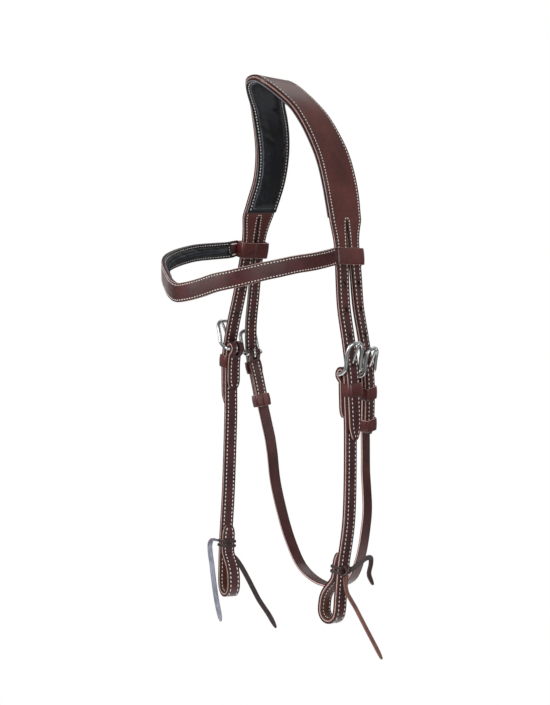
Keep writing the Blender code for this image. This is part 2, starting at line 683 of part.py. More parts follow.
def build_crown(lines, bends):
    """The crown's two plies with their billets, its padded lining and the foam."""
    over = crown_rows()
    sides = {}
    for name in SIDES:
        stops = (bends[name][0] - DOUBLED / 4, bends[name][1] - DOUBLED / 2)
        sides[name] = billet_rows(lines[name], stops)
    rows = np.concatenate((sides["right"][::-1], over, sides["left"]))
    count = len(sides["right"])
    forked = [True] * count + [False] * len(over) + [True] * count
    holes = bmesh.new()
    for name in SIDES:
        front, rear = lines[name]
        places = (
            (front, front.run_at(CHEEK_BAR_DROP[name]), CHEEK_HOLE_RISE),
            (rear, rear.run_at(THROAT_BAR_DROP[name]), THROAT_HOLE_RISE),
        )
        for line, bar, rise in places:
            for hole in range(HOLES_ABOVE):
                run = bar - rise - hole * HOLE_PITCH
                cylinder_between(
                    line.at(run, -CUT_OVERRUN), line.at(run, DOUBLED + CUT_OVERRUN),
                    HOLE_WIDTH / 2, HOLE_SIDES, holes,
                )
        front_bend, rear_bend = bends[name]
        cylinder_between(
            front.at(front_bend, DOUBLED / 2, -STRAP_WIDTH), front.at(front_bend, DOUBLED / 2, STRAP_WIDTH),
            DOUBLED / 2 + CLEARANCE, BEND_SIDES, holes,
        )
        cylinder_between(
            rear.at(rear_bend, -CUT_OVERRUN), rear.at(rear_bend, DOUBLED + CUT_OVERRUN),
            THROAT_STRAP_WIDTH / 2 + CLEARANCE, BEND_SIDES, holes,
        )
    cutter = add_cutter("crown_holes", holes)
    plies = {
        "crown_outer": (DOUBLED / 2 + CLEARANCE / 2, DOUBLED),
        "crown_backing": (0.0, DOUBLED / 2 - CLEARANCE / 2),
    }
    for name, (low, high) in plies.items():
        cut(add_object(name, sheet(rows, forked, low, high), MATERIALS["leather"]), cutter)
    frames = crown_frames(CROWN_PAD_REACH_SHARE)
    height = CROWN_PAD_HEIGHT - LINING
    cover = padded_sections(frames, CROWN_PAD_MARGIN, height, CLEARANCE, True)
    core = padded_sections(frames[2:-2], CROWN_PAD_MARGIN, height, CLEARANCE, False)
    add_object("crown_pad_cover", skin(cover), MATERIALS["lining"], smooth=True)
    add_object("crown_pad_core", skin(core), MATERIALS["foam"])


def loop_frame(lines):
    """The middle of both billets on one side at the browband, with its directions and half width."""
    front, rear = (line.frame(line.run_at(BROWBAND_DROP)) for line in lines)
    one, two = front[0] - front[1] * STRAP_WIDTH / 2, rear[0] + rear[1] * THROAT_STRAP_WIDTH / 2
    directions = (unit(ahead + behind) for ahead, behind in zip(front[1:], rear[1:]))
    return ((one + two) / 2, *directions), np.linalg.norm(two - one) / 2 + LOOP_PLAY


def browband_frames(lines):
    """The browband's inner leather face from the left loop to the right, with its directions."""
    (middle, across, loop_out, down), half = loop_frame(lines)
    end = middle - across * (half + LOOP_WALL + CLEARANCE)
    end += loop_out * (DOUBLED + LOOP_PLAY + LOOP_WALL - BROWBAND_PLY)
    scale = np.array((BROWBAND_SPREAD, -BROWBAND_REACH, -BROWBAND_DIP, -BROWBAND_DIP))
    rows = np.array(BROWBAND_SHARES) * scale
    left = rows[:, :3] - np.array((0.0, 0.0, BROWBAND_DROP))
    right = (rows[:, (0, 1, 3)] - np.array((0.0, 0.0, BROWBAND_DROP))) * np.array((-1, 1, 1))
    ends = np.stack((end, end + (left[0] - end) * LINING_START_SHARE))
    points = np.concatenate((ends, left, right[-2::-1], ends[::-1] * np.array((-1, 1, 1))))
    tangents = np.gradient(points, axis=0)
    last = len(points) - 1
    frames = []
    for index, (point, tangent) in enumerate(zip(points, tangents)):
        tangent = unit(tangent)
        up = unit(np.array((0.0, 0.0, 1.0)) - tangent * tangent[2])
        out = np.cross(tangent, up)
        out *= math.copysign(1, out @ np.array((point[0], point[1], 0.0)))
        share = abs(2 * index / last - 1)
        half = (BROWBAND_HEIGHT + (BROWBAND_END_HEIGHT - BROWBAND_HEIGHT) * share) / 2
        frames.append((point, up, out, half, share))
    for index, side in ((0, 1), (last, -1)):
        flip = np.array((side, 1, 1))
        frames[index] = (points[index], -down * flip, loop_out * flip, *frames[index][3:])
    return frames


def build_browband(lines):
    """The browband's leather face, its padded lining and foam, and its two loops."""
    frames = browband_frames(lines["left"])
    face = [
        [point - up * half, point + up * half,
         point + up * half + out * BROWBAND_PLY, point - up * half + out * BROWBAND_PLY]
        for point, up, out, half, _ in frames
    ]
    add_object("browband_face", skin(face), MATERIALS["leather"])
    inset = [(point, up, out, half - CLEARANCE, share) for point, up, out, half, share in frames]
    height = BROWBAND_PAD_HEIGHT - LINING
    cover = padded_sections(inset[1:-1], BROWBAND_PAD_MARGIN, height, CLEARANCE, True)
    core = padded_sections(inset[2:-2], BROWBAND_PAD_MARGIN, height, CLEARANCE, False)
    add_object("browband_lining", skin(cover), MATERIALS["lining"], smooth=True)
    add_object("browband_core", skin(core), MATERIALS["foam"])
    for name in SIDES:
        frame, half = loop_frame(lines[name])
        loop = band(frame, half, -LOOP_PLAY, DOUBLED + LOOP_PLAY, LOOP_WALL, LOOP_HEIGHT)
        add_object("browband_loop_" + name, loop, MATERIALS["loop"])


def build_buckle(line, bar, bar_lift, rise, reach, width, names):
    """A buckle's frame and its tongue on the same bar. Returns the ends of the tongue's shank."""
    origin = line.at(bar, bar_lift)
    frame = tube(buckle_path(line, bar, bar_lift, rise, reach, width), WIRE / 2, closed=True)
    add_object(names[0], frame, MATERIALS["steel"], origin, smooth=True)
    hook, end = tongue_section(bar_lift, rise, reach)
    path = [line.at(bar - up, lift) for up, lift in hook]
    root, tip = path[-1], line.at(bar - end[0], end[1])
    path += [root + (tip - root) * share for share in SHANK_SHARES]
    add_object(names[1], tube(path, TONGUE_WIRE / 2), MATERIALS["steel"], origin, smooth=True)
    return root, tip


def build_cheek(name, line, bend):
    """One cheek: billet end, buckle, keeper, strap with its bit loop, and the tie."""
    axis = line.at(bend, DOUBLED / 2)
    bar = line.run_at(CHEEK_BAR_DROP[name])
    bar_lift = LEAF_LIFT - CHEEK_FOLD
    names = (name + "_cheek_buckle", name + "_cheek_tongue")
    root, tip = build_buckle(
        line, bar, bar_lift, BUCKLE_RISE[name], BUCKLE_REACH[name], STRAP_WIDTH, names
    )
    hole = tongue_hole(root, tip, name + "_cheek_hole")
    tail = bar + CHEEK_TAIL_DROP
    for ply in ("outer", "inner"):
        piece = billet_end(line, bend, tail, ply, STRAP_WIDTH, False)
        cut(add_object(f"{name}_cheek_billet_{ply}", piece, MATERIALS["leather"], axis), hole)
    path = cheek_path(line, bar, BIT_LOOP_DROP[name])
    widths = tapered(path, STRAP_WIDTH / 2, RETURN_POINT)
    slot = fold_slot(line, bar, CHEEK_FOLD, bar_lift, DOUBLED, name + "_cheek_slot")
    plies = {"outer": (CLEARANCE / 2, DOUBLED / 2), "inner": (-DOUBLED / 2, -CLEARANCE / 2)}
    for ply, (low, high) in plies.items():
        piece = leaf(line, path, low, high, widths)
        cut(add_object(f"{name}_cheek_{ply}", piece, MATERIALS["leather"], axis), slot)
    half = STRAP_WIDTH / 2 + KEEPER_PLAY
    back = LEAF_LIFT - 1.5 * DOUBLED - CLEARANCE - KEEPER_PLAY
    keeper = band(
        line.frame(bar + CHEEK_KEEPER_DROP), half, back, DOUBLED + KEEPER_PLAY, KEEPER_WALL, KEEPER_HEIGHT
    )
    add_object(name + "_cheek_keeper", keeper, MATERIALS["loop"], axis)
    build_tie(name, line, axis, half, back)


def build_tie(name, line, axis, half, back):
    """The thong that closes a bit loop: the wrap with its knot, and two tails."""
    shut = line.run_at(BIT_LOOP_DROP[name]) - DOUBLED / 2 - LOOP_LENGTH
    run = shut - TIE_SET - KNOT_HEIGHT / 2
    wrap = band(line.frame(run), half, back, 0.0, THONG_THICKNESS, KNOT_HEIGHT, KNOT_LIFT)
    add_object(name + "_tie_knot", wrap, MATERIALS["thong"], axis)
    knot = line.at(run, 2 * THONG_THICKNESS + KNOT_LIFT)
    roots = {
        (0, 0, 1): (run + KNOT_HEIGHT / 2 + CLEARANCE, THONG_THICKNESS, 0.0),
        (1, 0, 0): (run, LEAF_LIFT, half + THONG_THICKNESS + CLEARANCE),
        (0, 1, 0): (run, THONG_THICKNESS + KNOT_LIFT * KNOT_SHARES[1][1] + CLEARANCE, 0.0),
    }
    scale = np.array((SIDES[name] * TAIL_REACH, TAIL_REACH, -TAIL_FALL))
    for kind in ("long", "short"):
        key = f"{name}_tie_{kind}_tail"
        root = line.at(*roots[TAIL_ROOTS[key]])
        leaving = sum(way * share for way, share in zip(line.frame(run)[1:], TAIL_ROOTS[key]))
        rows = [root, root + leaving * TAIL_ROOT, *(np.array(TAIL_SHARES[key]) * scale + knot)]
        path = curve_through(rows, TAIL_STEPS)
        _, _, out, down = line.frame(run)
        face = down if TAIL_ROOTS[key] == (0, 1, 0) else out
        add_object(key, thong(path, leaving, face), MATERIALS["thong"], path[0])


def thong(path, leaving, face):
    """A flat thong along a path, bending over its flat face, narrowed to a point at its end."""
    tangents = np.gradient(path, axis=0)
    tangents[0] = leaving
    widths = tapered(path, THONG_WIDTH / 2, TAIL_POINT, start=False, blunt_share=0.2)
    sections = []
    for point, tangent, width in zip(path, tangents, widths):
        tangent = unit(tangent)
        face = unit(face - tangent * (face @ tangent))
        across, step = np.cross(tangent, face) * width, face * THONG_THICKNESS / 2
        sections.append([
            point - across - step, point + across - step, point + across + step, point - across + step,
        ])
    return skin(sections)


def build_throatlatch(lines, bends):
    """The throatlatch: strap, and at each end a buckle, billet end and two keepers."""
    axes = {name: lines[name][1].at(bends[name][1], DOUBLED / 2) for name in SIDES}
    middle = (axes["left"] + axes["right"]) / 2
    half_strap = THROAT_STRAP_WIDTH / 2
    bar_lift = THROAT_LEAF_LIFT - THROAT_FOLD
    ends = {}
    slots = []
    for name in SIDES:
        line = lines[name][1]
        bar = line.run_at(THROAT_BAR_DROP[name])
        names = (name + "_throat_buckle", name + "_throat_tongue")
        rise, reach = THROAT_BUCKLE_RISE[name], THROAT_BUCKLE_REACH[name]
        root, tip = build_buckle(line, bar, bar_lift, rise, reach, THROAT_STRAP_WIDTH, names)
        hole = tongue_hole(root, tip, name + "_throat_hole")
        for ply in ("outer", "inner"):
            tail = bar + THROAT_TAIL_DROP
            piece = billet_end(line, bends[name][1], tail, ply, THROAT_STRAP_WIDTH, True)
            cut(add_object(f"{name}_throat_billet_{ply}", piece, MATERIALS["leather"], middle), hole)
        half = half_strap + KEEPER_PLAY
        back = THROAT_LEAF_LIFT - 1.5 * PLY - CLEARANCE - KEEPER_PLAY
        drops = {"upper": THROAT_KEEPER_DROP[name], "lower": RUNNING_KEEPER_DROP}
        for kind, drop in drops.items():
            keeper = band(
                line.frame(bar + drop), half, back, DOUBLED + KEEPER_PLAY, KEEPER_WALL, KEEPER_HEIGHT
            )
            add_object(f"{name}_throat_keeper_{kind}", keeper, MATERIALS["loop"], middle)
        path = throat_path(line, bar)
        lows, highs = section_path(path, -PLY / 2, PLY / 2)
        widths = tapered(path, half_strap, RETURN_POINT, end=False)
        ends[name] = [
            [line.at(*inner, -width), line.at(*inner, width), line.at(*outer, width), line.at(*outer, -width)]
            for inner, outer, width in zip(lows, highs, widths)
        ]
        slots.append(fold_slot(line, bar, THROAT_FOLD, bar_lift, PLY, name + "_throat_slot"))
    sections = ends["left"][:-1] + throat_sections(half_strap) + ends["right"][-2::-1]
    strap = add_object("throatlatch_strap", skin(sections), MATERIALS["leather"], middle)
    for slot in slots:
        cut(strap, slot)


def throat_sections(half):
    """The throatlatch's sections between the ends of its two hang lines."""
    rows = np.array((REAR_LINE_SHARES[-1],) + THROAT_LINE_SHARES)
    mirrored = rows[-2::-1] * np.array((1, -1, 1, -1))
    shares = curve_through(np.concatenate((rows, mirrored)), THROAT_STEPS)
    sections = []
    points = np.column_stack((HANG_SPREAD * shares[:, 1], HANG_BACK * shares[:, 2], -HANG_DROP * shares[:, 0]))
    tangents = np.gradient(points, axis=0)
    for point, tangent, toe in zip(points, tangents, np.radians(shares[:, 3])):
        tangent = unit(tangent)
        across = np.array((-math.sin(toe), math.cos(toe), 0.0))
        across = unit(across - tangent * (across @ tangent))
        out = -np.cross(across, tangent)
        inner = point + out * (THROAT_LEAF_LIFT - PLY / 2)
        outer = point + out * (THROAT_LEAF_LIFT + PLY / 2)
        sections.append([
            inner - across * half, inner + across * half, outer + across * half, outer - across * half,
        ])
    return sections


for old in list(bpy.data.objects):
    bpy.data.objects.remove(old)

SIDES = {"left": 1, "right": -1}
MATERIALS = {
    "leather": make_material("Chestnut leather", (0.090, 0.032, 0.028), 0.42),
    "loop": make_material("Redder leather", (0.125, 0.030, 0.024), 0.40),
    "lining": make_material("Black soft leather", (0.013, 0.016, 0.022), 0.48),
    "foam": make_material("Foam", (0.45, 0.43, 0.38), 0.90),
    "thong": make_material("Dark leather", (0.035, 0.017, 0.015), 0.50),
    "steel": make_material("Polished steel", (0.60, 0.61, 0.61), 0.22, 1.0),
}

hang_lines = {
    name: (HangLine(FRONT_LINE_SHARES, side), HangLine(REAR_LINE_SHARES, side))
    for name, side in SIDES.items()
}
bend_runs = {
    name: (
        hang_lines[name][0].run_at(CHEEK_BAR_DROP[name]) - CHEEK_BEND_RISE,
        hang_lines[name][1].run_at(THROAT_BAR_DROP[name]) - THROAT_BEND_RISE,
    )
    for name in SIDES
}
build_crown(hang_lines, bend_runs)
build_browband(hang_lines)
for cheek in SIDES:
    build_cheek(cheek, hang_lines[cheek][0], bend_runs[cheek][0])
build_throatlatch(hang_lines, bend_runs)
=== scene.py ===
"""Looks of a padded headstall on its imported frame.

Each strap is cut flat, punched, given its thickness and rounded edges, and then laid along its place
on the bridle. Metres, +Z up; the horse faces -Y and its left is +X.
"""

import json
import logging
import math
from collections.abc import Callable, Sequence
from dataclasses import dataclass, field, replace
from enum import Enum

import bmesh
import bpy
import numpy as np
from mathutils import Matrix, Vector

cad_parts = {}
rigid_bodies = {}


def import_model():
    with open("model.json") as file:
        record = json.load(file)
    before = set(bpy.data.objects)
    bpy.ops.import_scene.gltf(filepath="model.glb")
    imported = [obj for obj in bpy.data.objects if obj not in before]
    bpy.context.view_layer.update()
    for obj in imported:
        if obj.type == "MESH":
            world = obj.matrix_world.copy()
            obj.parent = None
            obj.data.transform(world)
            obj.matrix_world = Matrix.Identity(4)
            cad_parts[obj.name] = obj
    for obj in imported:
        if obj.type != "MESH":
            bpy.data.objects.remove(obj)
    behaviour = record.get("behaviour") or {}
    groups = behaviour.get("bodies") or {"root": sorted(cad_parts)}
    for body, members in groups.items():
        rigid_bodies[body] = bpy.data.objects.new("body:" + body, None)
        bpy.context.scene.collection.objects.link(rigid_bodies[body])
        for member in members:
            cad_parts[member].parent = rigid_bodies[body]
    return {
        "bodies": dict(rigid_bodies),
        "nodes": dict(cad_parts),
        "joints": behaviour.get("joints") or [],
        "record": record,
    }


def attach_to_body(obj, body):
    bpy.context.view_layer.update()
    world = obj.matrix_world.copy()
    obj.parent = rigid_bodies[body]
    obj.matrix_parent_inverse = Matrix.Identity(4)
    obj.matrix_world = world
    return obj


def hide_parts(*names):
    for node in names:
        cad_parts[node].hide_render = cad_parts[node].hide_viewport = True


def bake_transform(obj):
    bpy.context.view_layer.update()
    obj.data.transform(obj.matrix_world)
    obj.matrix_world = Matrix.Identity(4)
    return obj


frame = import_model()

logging.basicConfig(level=logging.INFO, format="%(message)s")
LOG = logging.getLogger("headstall")

Width = Callable[[float], float]
Rows = Sequence[Sequence[float]] | np.ndarray
Array = np.ndarray
Frame = Sequence[np.ndarray]
Shade = tuple[int, int, int]
Piece = bpy.types.Object
Socket = bpy.types.NodeSocket


# Sizes that the pieces share


@dataclass(frozen=True)
class Stock:
    """What the bridle is cut and bent from, in metres."""

    ply: float = 0.00255
    gap: float = 0.0003
    strap: float = 0.0124
    throat_strap: float = 0.0110
    wire: float = 0.0038
    tongue: float = 0.0028
    lining: float = 0.0012
    wall: float = 0.0016
    loop_wall: float = 0.0018
    thong: float = 0.0040
    thong_ply: float = 0.0016
    edge: float = 0.0005
    stitch_margin: float = 0.0021
    thread_room: float = 0.0005

    @property
    def doubled(self) -> float:
        """Thickness of two plies stitched together."""
        return 2 * self.ply + self.gap

    @property
    def leaf_lift(self) -> float:
        """Lift of a cheek strap's middle under its billet."""
        return -self.gap - self.doubled / 2

    @property
    def cheek_fold(self) -> float:
        """Radius of a cheek strap's middle round its buckle's bar."""
        return self.wire / 2 + self.gap + self.doubled / 2

    @property
    def throat_lift(self) -> float:
        """Lift of the throatlatch's middle under its billet."""
        return -self.gap - self.ply / 2

    @property
    def throat_fold(self) -> float:
        """Radius of the throatlatch's middle round its buckle's bar."""
        return self.wire / 2 + self.gap + self.ply / 2


STOCK = Stock()


class Side(Enum):
    """A side of the horse, with its sign along X."""

    LEFT = 1
    RIGHT = -1

    @property
    def word(self) -> str:
        """The side's name as the frame writes it."""
        return self.name.lower()


class Ply(Enum):
    """Which of a doubled strap's two leathers."""

    OUTER = "outer"
    INNER = "inner"


class Slot(Enum):
    """The record's material slots."""

    LEATHER = "leather"
    LOOP = "loop"
    LINING = "lining"
    THONG = "thong"
    STEEL = "steel"


# Curves


def unit(vectors: Array) -> Array:
    """Vectors at a length of one, along their last axis."""
    return vectors / np.linalg.norm(vectors, axis=-1, keepdims=True)


def smooth(rows: Array, at: Array, steps: Sequence[int]) -> Array:
    """A smooth curve through rows of numbers.

    Args:
        rows: the rows, of any width.
        at: how far along each of them lies.
        steps: how many steps there are from each row to the next.

    Returns:
        The curve's rows, the given ones among them.
    """
    slopes = np.gradient(rows, at, axis=0)
    curve = []
    for index, count in enumerate(steps):
        length = at[index + 1] - at[index]
        for step in range(count):
            k = step / count
            curve.append(
                rows[index] * (2 * k**3 - 3 * k**2 + 1) + slopes[index] * length * (k**3 - 2 * k**2 + k)
                + rows[index + 1] * (3 * k**2 - 2 * k**3) + slopes[index + 1] * length * (k**3 - k**2)
            )
    return np.array([*curve, rows[-1]])


def curve_through(points: Rows, steps: int) -> Array:
    """A smooth curve through evenly spaced points, with some steps from each to the next."""
    rows = np.asarray(points, dtype=float)
    return smooth(rows, np.arange(len(rows)), [steps] * (len(rows) - 1))


def lengths_along(points: Array) -> Array:
    """How far along a path each of its points lies."""
    return np.concatenate(([0.0], np.cumsum(np.linalg.norm(np.diff(points, axis=0), axis=1))))


def fair(points: Rows, spacing: float) -> Array:
    """A smooth curve through unevenly spaced points.

    Args:
        points: rows of any width, whose first three columns are measured.
        spacing: the distance between the curve's rows, at most.

    Returns:
        The curve's rows, the given points among them.
    """
    rows = np.asarray(points, dtype=float)
    at = lengths_along(rows[:, :3])
    return smooth(rows, at, [max(1, math.ceil(length / spacing)) for length in np.diff(at)])


def sample(at: Array, runs: Array, values: Array) -> Array:
    """Values between the rows of a table that lie at some runs, a row for each place asked for."""
    return np.column_stack([np.interp(at, runs, column) for column in values.T])


class HangLine:
    """A strap's inner face on one side of the head, and the directions on it."""

    STEPS = 8

    def __init__(self, stops: Sequence[Sequence[float]], side: Side) -> None:
        """Makes the line.

        Args:
            stops: how far down, out and back each stop lies from the poll, and how many degrees the
                outer face is turned towards the rear there.
            side: which side of the horse it hangs on.
        """
        rows = curve_through(stops, self.STEPS)
        self.side = side.value
        self.points = np.column_stack((self.side * rows[:, 1], rows[:, 2], -rows[:, 0]))
        self.toes = np.radians(rows[:, 3])
        self.slopes = np.gradient(self.points, axis=0)
        self.runs = lengths_along(self.points)

    def run_at(self, drop: float) -> float:
        """How far down the line a drop below the poll lies."""
        return float(np.interp(drop, -self.points[:, 2], self.runs))

    def frames(self, runs: Array) -> Frame:
        """The points at some runs, and the directions across the strap, out of it and down it.

        Args:
            runs: how far down the line.

        Returns:
            Points, across, out and down, a row for each run.
        """
        down = unit(sample(runs, self.runs, self.slopes))
        toe = np.interp(runs, self.runs, self.toes)
        across = np.column_stack((-self.side * np.sin(toe), np.cos(toe), np.zeros_like(toe)))
        across = unit(across - down * np.sum(across * down, axis=1, keepdims=True))
        out = np.cross(across, down) * -self.side
        return sample(runs, self.runs, self.points), across, out, down

    def frame(self, run: float) -> Frame:
        """The point and the three directions at one run."""
        return tuple(rows[0] for rows in self.frames(np.array([run])))

    def at(self, run: float, lift: float = 0.0, across: float = 0.0) -> Array:
        """The point at a run down the line, a lift off it and a distance across it."""
        point, aside, out, _ = self.frame(run)
        return point + out * lift + aside * across


# Where flat leather is laid


class Lay:
    """A place on the bridle for a flat piece: run, across and lift become a point."""

    length: float

    def place(self, flat: Array) -> Array:
        """Points on the bridle for rows of run, across and lift."""
        raise NotImplementedError

    def margin(self, flat: Array, width: Width) -> Array:
        """How far each flat point is from the nearest long edge, where the half width is that at its run."""
        half = np.array([width(run) for run in flat[:, 0]])
        return half - np.abs(flat[:, 1])


class StrapLay(Lay):
    """A lay along a path with a direction across and one out of the face at each point."""

    def __init__(self, points: Array, across: Array, out: Array) -> None:
        """Keeps the path and its directions.

        Args:
            points: the path.
            across: the direction across, at each point.
            out: the direction out of the face.
        """
        self.points, self.across, self.out = points, unit(across), unit(out)
        self.runs = lengths_along(points)
        self.length = float(self.runs[-1])

    @classmethod
    def on_line(cls, line: HangLine, path: Array) -> "StrapLay":
        """A lay whose middle follows a path of run and lift on a hang line.

        Args:
            line: the hang line.
            path: rows of run and lift.

        Returns:
            The lay, whose across runs to the rear and whose out is to the left of the path.
        """
        at = lengths_along(path)
        along = unit(np.gradient(path, at, axis=0))
        points, across, out, down = line.frames(path[:, 0])
        face = down * -along[:, 1:2] + out * along[:, 0:1]
        return cls(points + out * path[:, 1:2], across, face)

    @classmethod
    def faired(cls, rows: Array, spacing: float) -> "StrapLay":
        """A lay through sparse rows of a point, the direction across and the direction out."""
        smooth = fair(rows, spacing)
        return cls(smooth[:, :3], smooth[:, 3:6], smooth[:, 6:9])

    def place(self, flat: Array) -> Array:
        """Points on the bridle for rows of run, across and lift.

        Args:
            flat: rows of run, across and lift.

        Returns:
            The points.
        """
        run = flat[:, 0]
        across = unit(sample(run, self.runs, self.across))
        out = unit(sample(run, self.runs, self.out))
        return sample(run, self.runs, self.points) + across * flat[:, 1:2] + out * flat[:, 2:3]

    def run_near(self, point: Array) -> float:
        """The run of the path's point that is nearest to a point."""
        return float(self.runs[np.argmin(np.linalg.norm(self.points - point, axis=1))])


class CrownLay(Lay):
    """The crown's curved face from the right browband loop over the poll to the left one.

    Across is measured from the slit: forward is negative and rearward is positive.
    """

    SLIT = 0.0004

    def __init__(self, columns: Array, slit_drop: float) -> None:
        """Keeps the face.

        Args:
            columns: for each row its front edge, the slit's two sides and its rear edge.
            slit_drop: how far below the poll the slits start.
        """
        fork = int(np.sum(columns[: len(columns) // 2, 0, 2] < -slit_drop - STOCK.edge))
        self.columns = columns
        along = np.gradient(columns, axis=0)
        across = columns[:, -1] - columns[:, 0]
        out = unit(np.cross(along, across[:, None, :]))
        out *= np.sign(out[len(columns) // 2, 0, 2])
        self.out = out
        middle = (columns[:, 0] + columns[:, 3]) / 2
        self.runs = lengths_along(middle)
        self.length = float(self.runs[-1])
        self.front = np.linalg.norm(columns[:, 1] - columns[:, 0], axis=1)
        self.rear = np.linalg.norm(columns[:, 3] - columns[:, 2], axis=1)
        self.fork_runs = (float(self.runs[fork]), float(self.runs[-1 - fork]))

    def half(self, run: float) -> float:
        """The half width of the crown, or of one of its forks' sides, at a run."""
        widths = np.interp(run, self.runs, self.front), np.interp(run, self.runs, self.rear)
        return float(sum(widths)) / 2 + self.SLIT

    def place(self, flat: Array) -> Array:
        """Points on the bridle for rows of run, across and lift.

        Args:
            flat: rows of run, across and lift.

        Returns:
            The points.
        """
        run, across, lift = flat.T
        columns = [sample(run, self.runs, self.columns[:, index]) for index in range(4)]
        outs = [sample(run, self.runs, self.out[:, index]) for index in range(4)]
        half = (np.interp(run, self.runs, self.front) + np.interp(run, self.runs, self.rear)) / 2
        share = (np.clip((np.abs(across) - self.SLIT) / half, 0.0, None))[:, None]
        between = (np.clip(across / self.SLIT, -1.0, 1.0)[:, None] + 1) / 2
        inner = columns[1] * (1 - between) + columns[2] * between
        inner_out = outs[1] * (1 - between) + outs[2] * between
        ahead = (across < 0)[:, None]
        edge = np.where(ahead, columns[0], columns[3])
        edge_out = np.where(ahead, outs[0], outs[3])
        point = inner * (1 - share) + edge * share
        return point + unit(inner_out * (1 - share) + edge_out * share) * lift[:, None]

    def margin(self, flat: Array, width: Width) -> Array:
        """How far each flat point is from the nearest edge, the slits' edges among them.

        Args:
            flat: rows of run, across and lift.
            width: the half width at a run.

        Returns:
            One distance for each row.
        """
        outer = super().margin(flat, width)
        low, high = self.fork_runs
        beyond = np.maximum(low - flat[:, 0], flat[:, 0] - high)
        slit = np.hypot(np.minimum(beyond, 0.0), np.abs(flat[:, 1]) - self.SLIT)
        return np.minimum(outer, slit)


# Cutting flat leather


